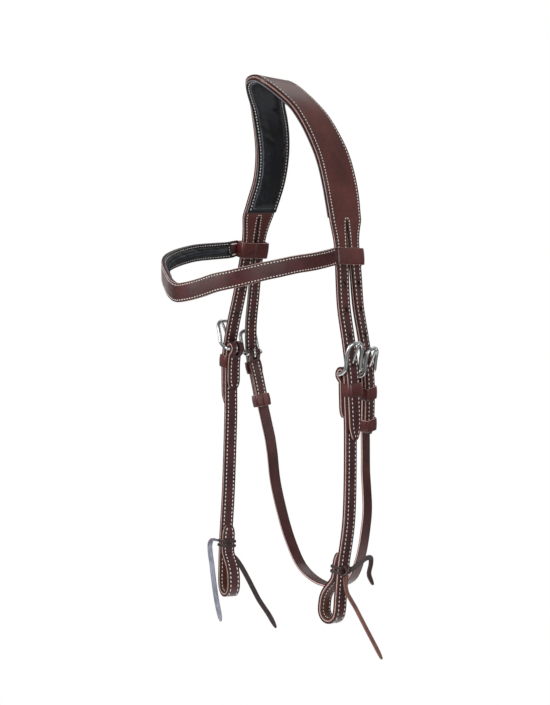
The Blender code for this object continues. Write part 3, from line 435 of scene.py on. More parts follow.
@dataclass
class Blank:
    """A flat piece of leather on the bench: run along X, across along Y and lift along Z."""

    stations: Sequence[float]
    lines: Sequence[float]
    width: Width | None = None
    joined: tuple[bool, bool] = (False, False)
    kept: float = 0.0
    mesh: bmesh.types.BMesh = field(init=False)

    def __post_init__(self) -> None:
        """Rules the stations and lines on it."""
        self.mesh = bmesh.new()
        across, down = len(self.stations) - 1, len(self.lines) - 1
        bmesh.ops.create_grid(self.mesh, x_segments=across, y_segments=down, size=0.5)
        self.full = max(abs(line) for line in self.lines)
        self.width = self.width or (lambda run: self.full)
        self.holes: list[tuple[float, float, float]] = []
        for vert in self.mesh.verts:
            run = self.stations[round((vert.co.x + 0.5) * across)]
            line = self.lines[round((vert.co.y + 0.5) * down)]
            beyond = max(abs(line) - self.kept, 0.0) / (self.full - self.kept)
            reach = min(abs(line), self.kept) + beyond * (self.width(run) - self.kept)
            vert.co = (run, math.copysign(reach, line), 0.0)

    def open(self, low: float, high: float, half: float) -> None:
        """Cuts a slot along the middle.

        Args:
            low: the run at which it starts.
            high: the run at which it ends.
            half: its half width.
        """
        spare = STOCK.edge / 10
        gone = [
            face for face in self.mesh.faces
            if low < face.calc_center_median().x < high
            and all(abs(vert.co.y) < half + spare for vert in face.verts)
        ]
        bmesh.ops.delete(self.mesh, geom=gone, context="FACES")

    def punch(self, run: float, radius: float, slant: float = 0.0) -> None:
        """Punches a round hole in the middle, where two ruled lines cross.

        Args:
            run: the hole's run.
            radius: its radius.
            slant: how far it leans along the run for each unit of lift.
        """
        centre = Vector((run, 0.0, 0.0))
        hub = min(self.mesh.verts, key=lambda vert: (vert.co - centre).length)
        around = list({edge for face in hub.link_faces for edge in face.edges if hub not in edge.verts})
        reach = max((vert.co - centre).length for edge in around for vert in edge.verts) + STOCK.edge / 10
        bmesh.ops.delete(self.mesh, geom=[hub], context="VERTS")
        bmesh.ops.subdivide_edges(self.mesh, edges=around, cuts=1)
        rim = [
            edge for edge in self.mesh.edges
            if edge.is_boundary and all((vert.co - centre).length < reach for vert in edge.verts)
        ]
        made = bmesh.ops.extrude_edge_only(self.mesh, edges=rim)["geom"]
        for vert in (item for item in made if isinstance(item, bmesh.types.BMVert)):
            away = vert.co - centre
            away.z = 0.0
            vert.co = centre + away.normalized() * radius
        self.holes.append((run, radius, slant))

    def thicken(self, low: float, high: float, dome: float = 0.0) -> None:
        """Gives the leather its thickness.

        Args:
            low: the lift of its under face.
            high: the lift of its upper face.
            dome: how far the upper face stands up more along its middle.
        """
        made = bmesh.ops.extrude_face_region(self.mesh, geom=self.mesh.faces[:])["geom"]
        upper = {item for item in made if isinstance(item, bmesh.types.BMVert)}
        for vert in self.mesh.verts:
            share = min(abs(vert.co.y) / max(self.width(vert.co.x), 1e-6), 1.0)
            vert.co.z = high + dome * (1 - share**2) if vert in upper else low
        bmesh.ops.recalc_face_normals(self.mesh, faces=self.mesh.faces[:])
        for vert in self.mesh.verts:
            for run, radius, slant in self.holes:
                if slant and math.hypot(vert.co.x - run, vert.co.y) < radius * 1.6:
                    vert.co.x += slant * vert.co.z

    def round_edges(self, radius: float = STOCK.edge) -> None:
        """Rounds every cut edge, but not where the leather is joined to more leather.

        Args:
            radius: how much is rounded off.
        """
        met = [run for run, joined in zip((self.stations[0], self.stations[-1]), self.joined) if joined]
        sharp = [
            edge for edge in self.mesh.edges
            if len(edge.link_faces) == 2 and edge.calc_face_angle(0.0) > math.radians(60)
            and not any(all(abs(vert.co.x - run) < radius / 10 for vert in edge.verts) for run in met)
        ]
        bmesh.ops.bevel(
            self.mesh, geom=sharp, offset=radius, offset_type="OFFSET", segments=2, profile=0.5,
            affect="EDGES", material=-1, clamp_overlap=True,
        )

    def lay(
        self, name: str, lay: Lay, finish: "Finish", bare: Width | None = None, flat_faces: bool = True
    ) -> Piece:
        """Lays the leather on the bridle.

        Args:
            name: the piece's name.
            lay: where it lies.
            finish: what it is finished in.
            bare: how bare the leather is at a run, from 0 to 1, where it isn't finished all over.
            flat_faces: whether its faces look flat beside their rounded edges.

        Returns:
            The piece.
        """
        verts = self.mesh.verts
        flat = np.array([vert.co for vert in verts])
        edge = lay.margin(flat, self.width)
        from_ends = flat[:, 0] - self.stations[0], self.stations[-1] - flat[:, 0]
        for joined, from_end in zip(self.joined, from_ends):
            if not joined:
                edge = np.minimum(edge, from_end)
        for run, radius, slant in self.holes:
            away = np.hypot(flat[:, 0] - run - slant * flat[:, 2], flat[:, 1]) - radius
            edge = np.minimum(edge, away)
        for vert, point in zip(verts, lay.place(flat)):
            vert.co = point
        bmesh.ops.recalc_face_normals(self.mesh, faces=self.mesh.faces[:])
        piece = make_piece(name, self.mesh, finish)
        write_attribute(piece, "flat", flat)
        write_attribute(piece, "edge", np.maximum(edge, 0.0))
        if bare:
            write_attribute(piece, "bare", np.array([bare(run) for run in flat[:, 0]]))
        if flat_faces:
            piece.modifiers.new("Flat faces", "WEIGHTED_NORMAL").keep_sharp = True
        return piece


def beside_edge(half: Width) -> Width:
    """Where the thread lies beside the edges of a strap that has a half width at a run."""
    return lambda run: max(half(run) - STOCK.stitch_margin, 0.0004)


def write_attribute(piece: Piece, name: str, values: Array) -> None:
    """Writes one value, or one vector, for each of a piece's points.

    Args:
        piece: the piece.
        name: the attribute's name.
        values: its values.
    """
    kind, key = ("FLOAT_VECTOR", "vector") if values.ndim == 2 else ("FLOAT", "value")
    attribute = piece.data.attributes.new(name, kind, "POINT")
    attribute.data.foreach_set(key, values.astype(np.float32).ravel())


def make_piece(name: str, mesh: bmesh.types.BMesh, finish: "Finish") -> Piece:
    """Makes a smooth piece from a mesh in the scene's own axes.

    Args:
        name: the piece's name.
        mesh: its mesh, which is freed.
        finish: what it is finished in.

    Returns:
        The piece, linked to the scene.
    """
    data = bpy.data.meshes.new(name)
    mesh.to_mesh(data)
    mesh.free()
    return link_piece(name, data, finish)


def link_piece(name: str, data: bpy.types.Mesh, finish: "Finish") -> Piece:
    """Makes a smooth piece of mesh data, in its finish, and links it to the scene.

    Args:
        name: the piece's name.
        data: its mesh.
        finish: its finish.

    Returns:
        The piece.
    """
    data.shade_smooth()
    data.materials.append(finish.material())
    piece = bpy.data.objects.new(name, data)
    bpy.context.scene.collection.objects.link(piece)
    return piece


def attach(piece: Piece, body: str, slot: Slot | None = None, *nodes: str) -> None:
    """Puts a finished piece on its body, as dress does the rest."""
    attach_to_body(piece, body)
    dress(piece, slot, *nodes)


def bend(
    piece: Piece, bodies: tuple[str, str], ends: tuple[Array, Array],
    slot: Slot | None = None, *nodes: str,
) -> None:
    """Bakes a finished piece's place into its mesh, as dress does the rest."""
    tuple(ends[0])
    tuple(ends[1])
    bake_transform(piece)
    dress(piece, slot, *nodes)


def dress(piece: Piece, slot: Slot | None, *nodes: str) -> None:
    """Hides the CAD nodes that a piece stands for, and reports the piece.

    Args:
        piece: the piece.
        slot: the record's slot that it is finished in; not used.
        nodes: the CAD nodes that it stands for.
    """
    if nodes:
        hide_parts(*nodes)
    LOG.info("made %s, %d faces", piece.name, len(piece.data.polygons))


def spread(start: float, end: float, spacing: float) -> list[float]:
    """Even stations from a start to an end, no further apart than a spacing."""
    return list(np.linspace(start, end, max(2, math.ceil((end - start) / spacing) + 1)))


def mirrored(side: Sequence[float]) -> list[float]:
    """Lines ruled across a strap, from those on one side of its middle."""
    return [-line for line in reversed(side) if line] + list(side)


def stations_with(base: Sequence[float], marks: Sequence[float], clear: float) -> list[float]:
    """Stations in order, with some marks among them and no other nearer to a mark than is clear."""
    inner = [run for run in base[1:-1] if all(abs(run - mark) > clear for mark in marks)]
    return sorted({base[0], base[-1], *inner, *marks})


# Thread


@dataclass
class Stitching:
    """Rows of thread on one lay, made flat and then laid as the leather is."""

    lay: Lay
    pitch: float = 0.0040
    length: float = 0.0026
    thick: float = 0.00110
    step: float = 0.004
    places: list[Matrix] = field(default_factory=list)

    def row(self, path: Rows, lift: float) -> None:
        """Sews one row.

        Args:
            path: rows of run and across that the stitches follow.
            lift: the lift of the face that they lie on.
        """
        points = np.asarray(path, dtype=float)
        at = lengths_along(points)
        count = max(1, round(at[-1] / self.pitch))
        step = at[-1] / count
        places = sample((np.arange(count) + 0.5) * step, at, points)
        ahead = sample((np.arange(count) + 0.75) * step, at, points)
        size = (self.length * step / self.pitch / 2, self.thick / 2, self.thick * 0.42, 1.0)
        for (run, across), (next_run, next_across) in zip(places, ahead):
            turn = math.atan2(next_across - across, next_run - run)
            self.places.append(
                Matrix.Translation((run, across, lift)) @ Matrix.Rotation(turn, 4, "Z")
                @ Matrix.Diagonal(size)
            )

    def rows(self, start: float, end: float, across: Width, lift: float) -> None:
        """Sews a row along each long edge from a start to an end, so far from the middle as across says."""
        for sign in (-1, 1):
            self.row([(run, sign * across(run)) for run in spread(start, end, self.step)], lift)

    def finish(self, name: str) -> Piece:
        """Lays the thread, as one piece with a given name.

        Args:
            name: the piece's name.

        Returns:
            The piece.
        """
        mesh = bmesh.new()
        lying = Matrix.Rotation(math.pi / 2, 4, "Y")
        bmesh.ops.create_uvsphere(mesh, u_segments=8, v_segments=5, radius=1.0, matrix=lying)
        mesh.verts.index_update()
        shape = np.array([(*vert.co, 1.0) for vert in mesh.verts])
        faces = [[vert.index for vert in face.verts] for face in mesh.faces]
        mesh.free()
        flat = np.concatenate([(shape @ np.array(place).T)[:, :3] for place in self.places])
        data = bpy.data.meshes.new(name)
        count = len(shape)
        starts = range(0, len(flat), count)
        loops = [[start + index for index in face] for start in starts for face in faces]
        data.from_pydata(self.lay.place(flat), [], loops)
        return link_piece(name, data, Thread())


# Bent wire


def bend_wire(
    path: Array, radius: Width, closed: bool, facing: Array, sides: int = 14
) -> bmesh.types.BMesh:
    """A round wire along a path.

    Args:
        path: the wire's middle.
        radius: its radius at a share of its length.
        closed: whether its ends meet.
        facing: a direction that the path never follows.
        sides: how many sides its rings have.

    Returns:
        Its mesh, closed all over.
    """
    mesh = bmesh.new()
    ahead = np.roll(path, -1, axis=0) - np.roll(path, 1, axis=0) if closed else np.gradient(path, axis=0)
    along = unit(ahead)
    side = unit(np.cross(facing, along))
    other = np.cross(along, side)
    at = lengths_along(path) / lengths_along(path)[-1]
    places = []
    for point, a, b, c, share in zip(path, side, other, along, at):
        matrix = Matrix((a, b, c)).transposed().to_4x4()
        matrix.translation = Vector(point)
        places.append(matrix @ Matrix.Scale(radius(share), 4))
    made = bmesh.ops.create_circle(mesh, cap_ends=False, segments=sides, radius=1.0, matrix=places[0])
    edges = list({edge for vert in made["verts"] for edge in vert.link_edges})
    first = edges
    for before, after in zip(places[:-1], places[1:]):
        made = bmesh.ops.extrude_edge_only(mesh, edges=edges)["geom"]
        ring = [item for item in made if isinstance(item, bmesh.types.BMVert)]
        edges = [item for item in made if isinstance(item, bmesh.types.BMEdge)]
        bmesh.ops.transform(mesh, matrix=after @ before.inverted(), verts=ring)
    if closed:
        bmesh.ops.bridge_loops(mesh, edges=first + edges)
    else:
        bmesh.ops.contextual_create(mesh, geom=first)
        bmesh.ops.contextual_create(mesh, geom=edges)
    bmesh.ops.recalc_face_normals(mesh, faces=mesh.faces[:])
    return mesh


# Finishes


class Wiring:
    """Adds and joins the nodes of one tree."""

    def __init__(self, tree: bpy.types.NodeTree) -> None:
        """Keeps the tree."""
        self.tree = tree

    def add(self, kind: str, settings: dict[str, object] | None = None, **sockets: object) -> bpy.types.Node:
        """Adds a node.

        Args:
            kind: the node's type.
            settings: its properties.
            sockets: a value or another node's socket for each input, with underscores for spaces.

        Returns:
            The node.
        """
        made = self.tree.nodes.new(kind)
        for key, value in (settings or {}).items():
            setattr(made, key, value)
        for key, value in sockets.items():
            self.feed(made.inputs[key.replace("_", " ")], value)
        return made

    def feed(self, socket: Socket, value: object) -> None:
        """Gives an input a value or another node's output.

        Args:
            socket: the input.
            value: what it gets.
        """
        if isinstance(value, Socket):
            self.tree.links.new(value, socket)
        else:
            socket.default_value = value

    def math(self, operation: str, first: object, second: object = 0.0) -> Socket:
        """One math step of two numbers.

        Args:
            operation: the kind of step.
            first: a number or a socket.
            second: another.

        Returns:
            The step's output.
        """
        made = self.add("ShaderNodeMath", {"operation": operation})
        self.feed(made.inputs[0], first)
        self.feed(made.inputs[1], second)
        return made.outputs[0]

    def plus(self, first: object, second: object) -> Socket:
        """One number and another."""
        return self.math("ADD", first, second)

    def less(self, first: object, second: object) -> Socket:
        """One number without another."""
        return self.math("SUBTRACT", first, second)

    def times(self, first: object, second: object) -> Socket:
        """One number times another."""
        return self.math("MULTIPLY", first, second)

    def fade(self, value: object, start: float, end: float, low: float = 0.0, high: float = 1.0) -> Socket:
        """A smooth change from one number to another as a value goes from a start to an end."""
        made = self.add(
            "ShaderNodeMapRange", {"interpolation_type": "SMOOTHSTEP"},
            Value=value, From_Min=start, From_Max=end, To_Min=low, To_Max=high,
        )
        return made.outputs[0]

    def blend(self, factor: object, first: object, second: object) -> Socket:
        """A mix of two colours.

        Args:
            factor: the second colour's share.
            first: a colour.
            second: another.

        Returns:
            The mix.
        """
        made = self.add("ShaderNodeMix", {"data_type": "RGBA"})
        self.feed(made.inputs[0], factor)
        self.feed(made.inputs[6], first)
        self.feed(made.inputs[7], second)
        return made.outputs[2]

    def stain(self, colour: Socket, mask: Socket, share: float, shade: Shade) -> Socket:
        """A colour with a share of another over it where a mask shows."""
        return self.blend(self.times(mask, share), colour, linear(*shade))

    def noise(self, vector: object, scale: float, detail: float = 3.0, roughness: float = 0.5) -> Socket:
        """A noise value from 0 to 1."""
        made = self.add("ShaderNodeTexNoise", Vector=vector, Scale=scale, Detail=detail, Roughness=roughness)
        return made.outputs["Fac"]

    def streaks(
        self, vector: object, scale: tuple[float, float, float], detail: float, roughness: float = 0.5
    ) -> Socket:
        """A noise value, drawn out along some of the axes."""
        drawn = self.add("ShaderNodeMapping", Vector=vector, Scale=scale).outputs[0]
        return self.noise(drawn, 1.0, detail, roughness)

    def attribute(self, name: str, output: str = "Fac") -> Socket:
        """A value that each point of the piece carries."""
        return self.add("ShaderNodeAttribute", {"attribute_name": name}).outputs[output]

    def place(self) -> Socket:
        """The Object coordinates."""
        return self.add("ShaderNodeTexCoord").outputs["Object"]

    def group(self, tree: bpy.types.NodeTree, **sockets: object) -> bpy.types.bpy_prop_collection:
        """The outputs of a shared group."""
        return self.add("ShaderNodeGroup", {"node_tree": tree}, **sockets).outputs

    def cover(
        self, shader: bpy.types.Node, colour: Socket, height: Socket, strength: float, depth: float
    ) -> None:
        """Gives a shader its colour and its relief.

        Args:
            shader: the shader.
            colour: the colour.
            height: the relief's height, from 0 to about 1.
            strength: how strongly it shows.
            depth: how deep it is, in metres.
        """
        self.feed(shader.inputs["Base Color"], colour)
        bump = self.add("ShaderNodeBump", Strength=strength, Distance=depth, Height=height)
        self.feed(shader.inputs["Normal"], bump.outputs[0])


def linear(red: int, green: int, blue: int) -> tuple[float, float, float, float]:
    """A colour as it shows on a screen, from 0 to 255, made linear."""
    parts = (
        ((part / 255 + 0.055) / 1.055) ** 2.4 if part > 10 else part / 255 / 12.92
        for part in (red, green, blue)
    )
    return (*parts, 1.0)


def start_group(name: str, numbers: dict[str, float], outputs: Sequence[str]) -> Wiring | None:
    """Starts a shader node group that takes a vector and some numbers, unless it is already made.

    Args:
        name: the group's name.
        numbers: the names of its numbers, with their values.
        outputs: the names of its outputs, all of them numbers.

    Returns:
        The group's wiring, or nothing where it is already made.
    """
    if name in bpy.data.node_groups:
        return None
    tree = bpy.data.node_groups.new(name, "ShaderNodeTree")
    tree.interface.new_socket("Vector", in_out="INPUT", socket_type="NodeSocketVector")
    for key, value in numbers.items():
        tree.interface.new_socket(key, in_out="INPUT", socket_type="NodeSocketFloat").default_value = value
    for key in outputs:
        tree.interface.new_socket(key, in_out="OUTPUT", socket_type="NodeSocketFloat")
    return Wiring(tree)


def grain_group() -> bpy.types.NodeTree:
    """Pebbled grain, pores and slow mottling of a hide.

    Returns:
        The group: Height for a bump, Pores and Mottle for colour.
    """
    name = "Hide grain"
    work = start_group(name, {"Cell": 1150.0}, ("Height", "Pores", "Mottle"))
    if work:
        given = work.add("NodeGroupInput").outputs
        vector = given["Vector"]
        cells = work.add(
            "ShaderNodeTexVoronoi", {"feature": "DISTANCE_TO_EDGE"}, Vector=vector, Scale=given["Cell"],
        )
        pebble = work.fade(cells.outputs["Distance"], 0.0, 0.32)
        fine, waves = work.noise(vector, 2600.0, 2.0), work.noise(vector, 260.0, 3.0)
        height = work.plus(work.times(pebble, 0.55), work.times(fine, 0.25))
        height = work.plus(height, work.times(waves, 0.35))
        dots = work.add("ShaderNodeTexVoronoi", {"feature": "F1"}, Vector=vector, Scale=900.0)
        pores = work.fade(dots.outputs["Distance"], 0.16, 0.05)
        slow, quick = work.noise(vector, 34.0, 4.0), work.noise(vector, 190.0, 3.0)
        mottle = work.plus(work.times(slow, 0.7), work.times(quick, 0.3))
        work.add("NodeGroupOutput", Height=height, Pores=pores, Mottle=mottle)
    return bpy.data.node_groups[name]


def edge_group() -> bpy.types.NodeTree:
    """What an edge tool and a pricking iron leave beside a cut edge.

    Returns:
        The group: Rim where the cut edge shows, Pale for the line along the middle of the cut edge,
        whose paler undyed leather the strap finishes paint near white as a highlight, Dark for the dyed
        line beside it, Groove for the channel that the thread lies in, and Wear for worn places near the
        edge.
    """
    name = "Cut edge"
    work = start_group(
        name, {"Edge": 1.0, "Row": STOCK.stitch_margin, "Seam": 0.0, "Half": 0.0008},
        ("Rim", "Pale", "Dark", "Groove", "Wear"),
    )
    if work:
        given = work.add("NodeGroupInput").outputs
        vector, edge = given["Vector"], given["Edge"]
        ragged = work.times(work.less(work.noise(vector, 900.0, 2.0), 0.5), 0.00022)
        near = work.plus(edge, ragged)
        rim = work.fade(near, 0.00042, 0.00018)
        dark = work.times(work.fade(near, 0.00135, 0.00075), work.fade(near, 0.00020, 0.00045))
        groove = work.fade(work.math("ABSOLUTE", work.less(edge, given["Row"])), 0.00075, 0.00015)
        wear_and_sheen = work.fade(work.noise(vector, 70.0, 4.0), 0.52, 0.72)
        wear = work.times(wear_and_sheen, work.fade(edge, 0.0022, 0.0006))
        lift = work.add("ShaderNodeSeparateXYZ", Vector=vector).outputs["Z"]
        aside = work.plus(work.math("ABSOLUTE", work.less(lift, given["Seam"])), ragged)
        pale = work.fade(work.math("DIVIDE", aside, given["Half"]), 1.2, 0.8)
        work.add("NodeGroupOutput", Rim=rim, Pale=pale, Dark=dark, Groove=groove, Wear=wear)
    return bpy.data.node_groups[name]


@dataclass(frozen=True)
class Finish:
    """A finish that pieces share, made once."""

    name: str = "Plain"

    def material(self) -> bpy.types.Material:
        """The finish's material.

        Returns:
            The material, made once and then found by its name.
        """
        made = bpy.data.materials.get(self.name)
        if made is None:
            made = bpy.data.materials.new(self.name)
            made.use_nodes = True
            self.paint(Wiring(made.node_tree), made.node_tree.nodes["Principled BSDF"])
        return made

    def paint(self, work: Wiring, shader: bpy.types.Node) -> None:
        """Wires the finish into its shader."""
        raise NotImplementedError


@dataclass(frozen=True)
class StrapLeather(Finish):
    """Dyed and waxed strap leather with burnished edges, on a laid piece."""

    name: str = "Chestnut strap leather"
    deep: Shade = (76, 37, 33)
    light: Shade = (102, 52, 46)
    # The line along the cut edge's middle: paler leather, painted near white as a highlight.
    rim: Shade = (244, 208, 200)
    raw: Shade = (112, 64, 42)
    seam: float = STOCK.doubled / 2
    seam_half: float = 0.00055
    roughness: float = 0.38
    grain: float = 0.45
    coat: float = 0.10
    row: float = STOCK.stitch_margin
    cell: float = 1150.0

    def paint(self, work: Wiring, shader: bpy.types.Node) -> None:
        """Wires grain, edge dye, groove, worn places, bare leather and the cut edge's painted highlight.

        Args:
            work: the material's wiring.
            shader: its shader.
        """
        flat, bare = work.attribute("flat", "Vector"), work.attribute("bare")
        hide = work.group(grain_group(), Vector=flat, Cell=self.cell)
        side = work.group(
            edge_group(), Vector=flat, Edge=work.attribute("edge"), Row=self.row, Seam=self.seam,
            Half=self.seam_half,
        )
        colour = work.blend(work.fade(hide["Mottle"], 0.30, 0.72), linear(*self.deep), linear(*self.light))
        colour = work.stain(colour, hide["Pores"], 0.35, (34, 16, 15))
        colour = work.stain(colour, side["Wear"], 0.25, (140, 84, 74))
        colour = work.stain(colour, side["Groove"], 0.55, (34, 15, 15))
        raw = work.blend(work.noise(flat, 420.0, 4.0), linear(*self.raw), linear(80, 44, 31))
        colour = work.stain(work.blend(bare, colour, raw), side["Dark"], 0.8, (36, 17, 16))
        # The cut edge: dark dye, and along its middle a pale line of undyed leather painted near white as a
        # highlight.
        fibres = work.streaks(flat, (90.0, 900.0, 2600.0), 3.0)
        pale = work.blend(fibres, linear(*self.rim), linear(214, 166, 156))
        cut = work.blend(side["Pale"], linear(58, 27, 25), pale)
        rough = work.plus(self.roughness - 0.09, work.times(hide["Mottle"], 0.2))
        rough = work.less(work.plus(rough, work.times(bare, 0.25)), work.times(side["Rim"], 0.08))
        work.feed(shader.inputs["Roughness"], rough)
        height = work.less(work.times(hide["Height"], 0.22), side["Groove"])
        height = work.less(height, work.times(side["Dark"], 0.35))
        work.cover(shader, work.blend(side["Rim"], colour, cut), height, self.grain, 0.0007)
        shader.inputs["Specular IOR Level"].default_value = 0.35
        shader.inputs["Coat Weight"].default_value = self.coat
        shader.inputs["Coat Roughness"].default_value = 0.25


@dataclass(frozen=True)
class LiningLeather(Finish):
    """Soft black leather over foam."""

    name: str = "Black lining leather"
    row: float = 0.0023
    # Where the painted highlight along the pad's shoulder lies, and how strongly it shows.
    shoulder: float = 0.0054
    rubbing: float = 0.75

    def paint(self, work: Wiring, shader: bpy.types.Node) -> None:
        """Wires fine grain, puckers beside the thread, a painted highlight along the pad's shoulder and a
        pale grey cut edge that is a painted highlight.

        Args:
            work: the material's wiring.
            shader: its shader.
        """
        flat, edge = work.attribute("flat", "Vector"), work.attribute("edge")
        hide = work.group(grain_group(), Vector=flat, Cell=1500.0)
        side = work.group(edge_group(), Vector=flat, Edge=edge, Row=self.row)
        colour = work.blend(work.fade(hide["Mottle"], 0.3, 0.7), linear(8, 10, 14), linear(16, 19, 27))
        colour = work.stain(colour, side["Groove"], 0.6, (7, 8, 10))
        # A painted highlight along the pad's shoulder, where the raised foam turns to the light, broken up by
        # the mottle.
        aside = work.math("ABSOLUTE", work.less(edge, self.shoulder))
        wear_and_sheen = work.times(work.fade(aside, 0.0008, 0.0002), work.fade(hide["Mottle"], 0.25, 0.6))
        colour = work.stain(colour, wear_and_sheen, self.rubbing, (104, 110, 122))
        # The lining's cut edge, painted pale grey as a highlight.
        colour = work.stain(colour, side["Rim"], 0.8, (136, 134, 140))
        work.feed(shader.inputs["Roughness"], work.plus(0.38, work.times(hide["Mottle"], 0.10)))
        puckers = work.streaks(flat, (300.0, 45.0, 45.0), 1.0, 0.4)
        puckers = work.times(puckers, work.fade(edge, 0.0085, 0.0030))
        height = work.plus(work.times(hide["Height"], 0.25), work.times(puckers, 0.8))
        work.cover(shader, colour, work.less(height, side["Groove"]), 0.5, 0.0008)
        shader.inputs["Specular IOR Level"].default_value = 0.30


@dataclass(frozen=True)
class ThongLeather(Finish):
    """Oiled thong leather, split from the hide, with a paler underside."""

    name: str = "Dark thong leather"
    deep: Shade = (30, 19, 21)
    light: Shade = (56, 38, 40)

    def paint(self, work: Wiring, shader: bpy.types.Node) -> None:
        """Wires streaks along the thong and worn corners.

        Args:
            work: the material's wiring.
            shader: its shader.
        """
        flat = work.attribute("flat", "Vector")
        hide = work.group(grain_group(), Vector=flat, Cell=1700.0)
        streaks = work.streaks(flat, (160.0, 1500.0, 900.0), 4.0)
        tone = work.fade(work.plus(work.times(hide["Mottle"], 0.5), work.times(streaks, 0.5)), 0.35, 0.65)
        colour = work.blend(tone, linear(*self.deep), linear(*self.light))
        colour = work.stain(colour, work.fade(work.attribute("edge"), 0.0007, 0.0001), 0.4, (126, 84, 74))
        work.feed(shader.inputs["Roughness"], work.plus(0.36, work.times(streaks, 0.2)))
        height = work.plus(work.times(hide["Height"], 0.5), work.times(streaks, 0.5))
        work.cover(shader, colour, height, 0.4, 0.0005)


@dataclass(frozen=True)
class Thread(Finish):
    """Waxed cream thread."""

    name: str = "Cream thread"

    def paint(self, work: Wiring, shader: bpy.types.Node) -> None:
        """Wires the twist of the strands and a little soil.

        Args:
            work: the material's wiring.
            shader: its shader.
        """
        place = work.place()
        soil = work.fade(work.noise(place, 240.0, 3.0), 0.45, 0.75)
        shader.inputs["Roughness"].default_value = 0.62
        twist = work.add(
            "ShaderNodeTexWave", {"bands_direction": "DIAGONAL"}, Vector=place, Scale=520.0, Distortion=1.0,
        )
        colour = work.blend(soil, linear(246, 238, 230), linear(214, 198, 184))
        work.cover(shader, colour, twist.outputs["Fac"], 0.35, 0.0002)


@dataclass(frozen=True)
class Steel(Finish):
    """Polished steel wire with fine scratches and finger marks."""

    name: str = "Polished steel"

    def paint(self, work: Wiring, shader: bpy.types.Node) -> None:
        """Wires smudges and scratches.

        Args:
            work: the material's wiring.
            shader: its shader.
        """
        place = work.place()
        smudge = work.noise(place, 160.0, 4.0, 0.6)
        colour = work.blend(work.fade(smudge, 0.4, 0.75), linear(200, 202, 202), linear(182, 184, 185))
        shader.inputs["Metallic"].default_value = 1.0
        work.feed(shader.inputs["Roughness"], work.plus(0.20, work.times(smudge, 0.04)))
        work.cover(shader, colour, work.streaks(place, (2600.0, 900.0, 300.0), 2.0), 0.15, 0.000004)


@dataclass(frozen=True)
class Paper(Finish):
    """Plain white sweep that shows white to the camera, in metal, and keeps a shadow."""

    name: str = "White sweep"

    def paint(self, work: Wiring, shader: bpy.types.Node) -> None:
        """Wires a pale matt face, with a little unevenness, under its own white.

        Args:
            work: the material's wiring.
            shader: its shader.
        """
        cloud = work.noise(work.place(), 1.4, 2.0)
        pale = work.blend(cloud, (0.86, 0.86, 0.86, 1.0), (0.9, 0.9, 0.9, 1.0))
        work.feed(shader.inputs["Base Color"], pale)
        shader.inputs["Roughness"].default_value = 0.9
        ray = work.add("ShaderNodeLightPath").outputs
        seen = work.math("MAXIMUM", ray["Is Camera Ray"], ray["Is Glossy Ray"])
        work.feed(shader.inputs["Emission Strength"], work.times(seen, 0.55))
        shader.inputs["Emission Color"].default_value = (1.0, 1.0, 1.0, 1.0)


CHESTNUT = StrapLeather()
DARK_CHESTNUT = StrapLeather("Dark chestnut leather", (60, 29, 29), (88, 43, 42), roughness=0.35)
CHEEK_CHESTNUT = replace(
    DARK_CHESTNUT, name="Chestnut cheek leather", deep=(60, 31, 34), light=(88, 47, 50), seam=0.0,
)
PLAIN_CHESTNUT = replace(DARK_CHESTNUT, name="Plain chestnut leather", seam=0.0, row=-1.0, grain=0.4)
# The keepers' rim colour is the pale line along their cut edges, painted light as a highlight.
GLAZED = StrapLeather(
    name="Glazed keeper leather", deep=(72, 31, 29), light=(100, 45, 41), rim=(190, 120, 106), roughness=0.27,
    seam=STOCK.wall / 2, seam_half=0.0005, row=-1.0, grain=0.25, coat=0.45, cell=1500.0,
)
LINING = LiningLeather()
# The ribbed lining's painted highlight along its shoulder is fainter.
RIBBED_LINING = LiningLeather(name="Black ribbed lining leather", shoulder=0.0070, rubbing=0.3)
THONG = ThongLeather()
# A tail's waxed face, its blue-grey colour a painted sheen.
SHEEN_PAINTED_THONG = ThongLeather(name="Blue-grey thong leather", deep=(112, 115, 130), light=(172, 176, 192))
RED_THONG = ThongLeather(name="Brown thong leather", deep=(92, 52, 44), light=(150, 98, 84))
STEEL = Steel()


# The straps' lines and the bands round them

HANG_DROP = 0.5125
HANG_SPREAD = 0.1065
HANG_BACK = 0.0680

# Down in HANG_DROP, out in HANG_SPREAD, back in HANG_BACK, and degrees of turn towards the rear
FRONT_LINE_SHARES = (
    (0.2492, 0.6704, 0.3784, 0.0), (0.2849, 0.701, 0.384, 0.0), (0.3132, 0.724, 0.378, 0.0),
    (0.3561, 0.759, 0.351, 1.0), (0.4068, 0.811, 0.318, 2.0), (0.4673, 0.899, 0.296, 3.0),
    (0.5259, 0.965, 0.287, 3.0), (0.5707, 0.978, 0.292, 5.0), (0.6488, 0.986, 0.302, 8.0),
    (0.7932, 0.997, 0.27, 8.0), (0.8868, 0.972, 0.195, 8.0), (0.9415, 0.962, 0.166, 8.0),
    (1.02, 0.938, 0.137, 8.0),
)
REAR_LINE_SHARES = (
    (0.2492, 0.6704, 0.6265, 0.0), (0.2849, 0.706, 0.596, 0.0), (0.3132, 0.735, 0.586, 0.0),
    (0.3561, 0.77, 0.574, 5.0), (0.4068, 0.806, 0.567, 12.0), (0.4673, 0.87, 0.586, 15.0),
    (0.5259, 0.901, 0.634, 15.0), (0.5707, 0.873, 0.686, 15.0), (0.6234, 0.829, 0.732, 15.0),
    (0.6488, 0.808, 0.76, 15.0), (0.69, 0.774, 0.805, 15.0),
)
THROAT_LINE_SHARES = (
    (0.7229, 0.756, 0.829, 13.0), (0.7659, 0.75, 0.86, 11.0), (0.8049, 0.724, 0.894, 9.0),
    (0.8654, 0.634, 0.935, 6.0), (0.9063, 0.54, 0.963, 4.0), (0.941, 0.415, 0.985, 2.0),
    (0.9615, 0.22, 0.995, 1.0), (0.968, 0.0, 1.0, 0.0),
)


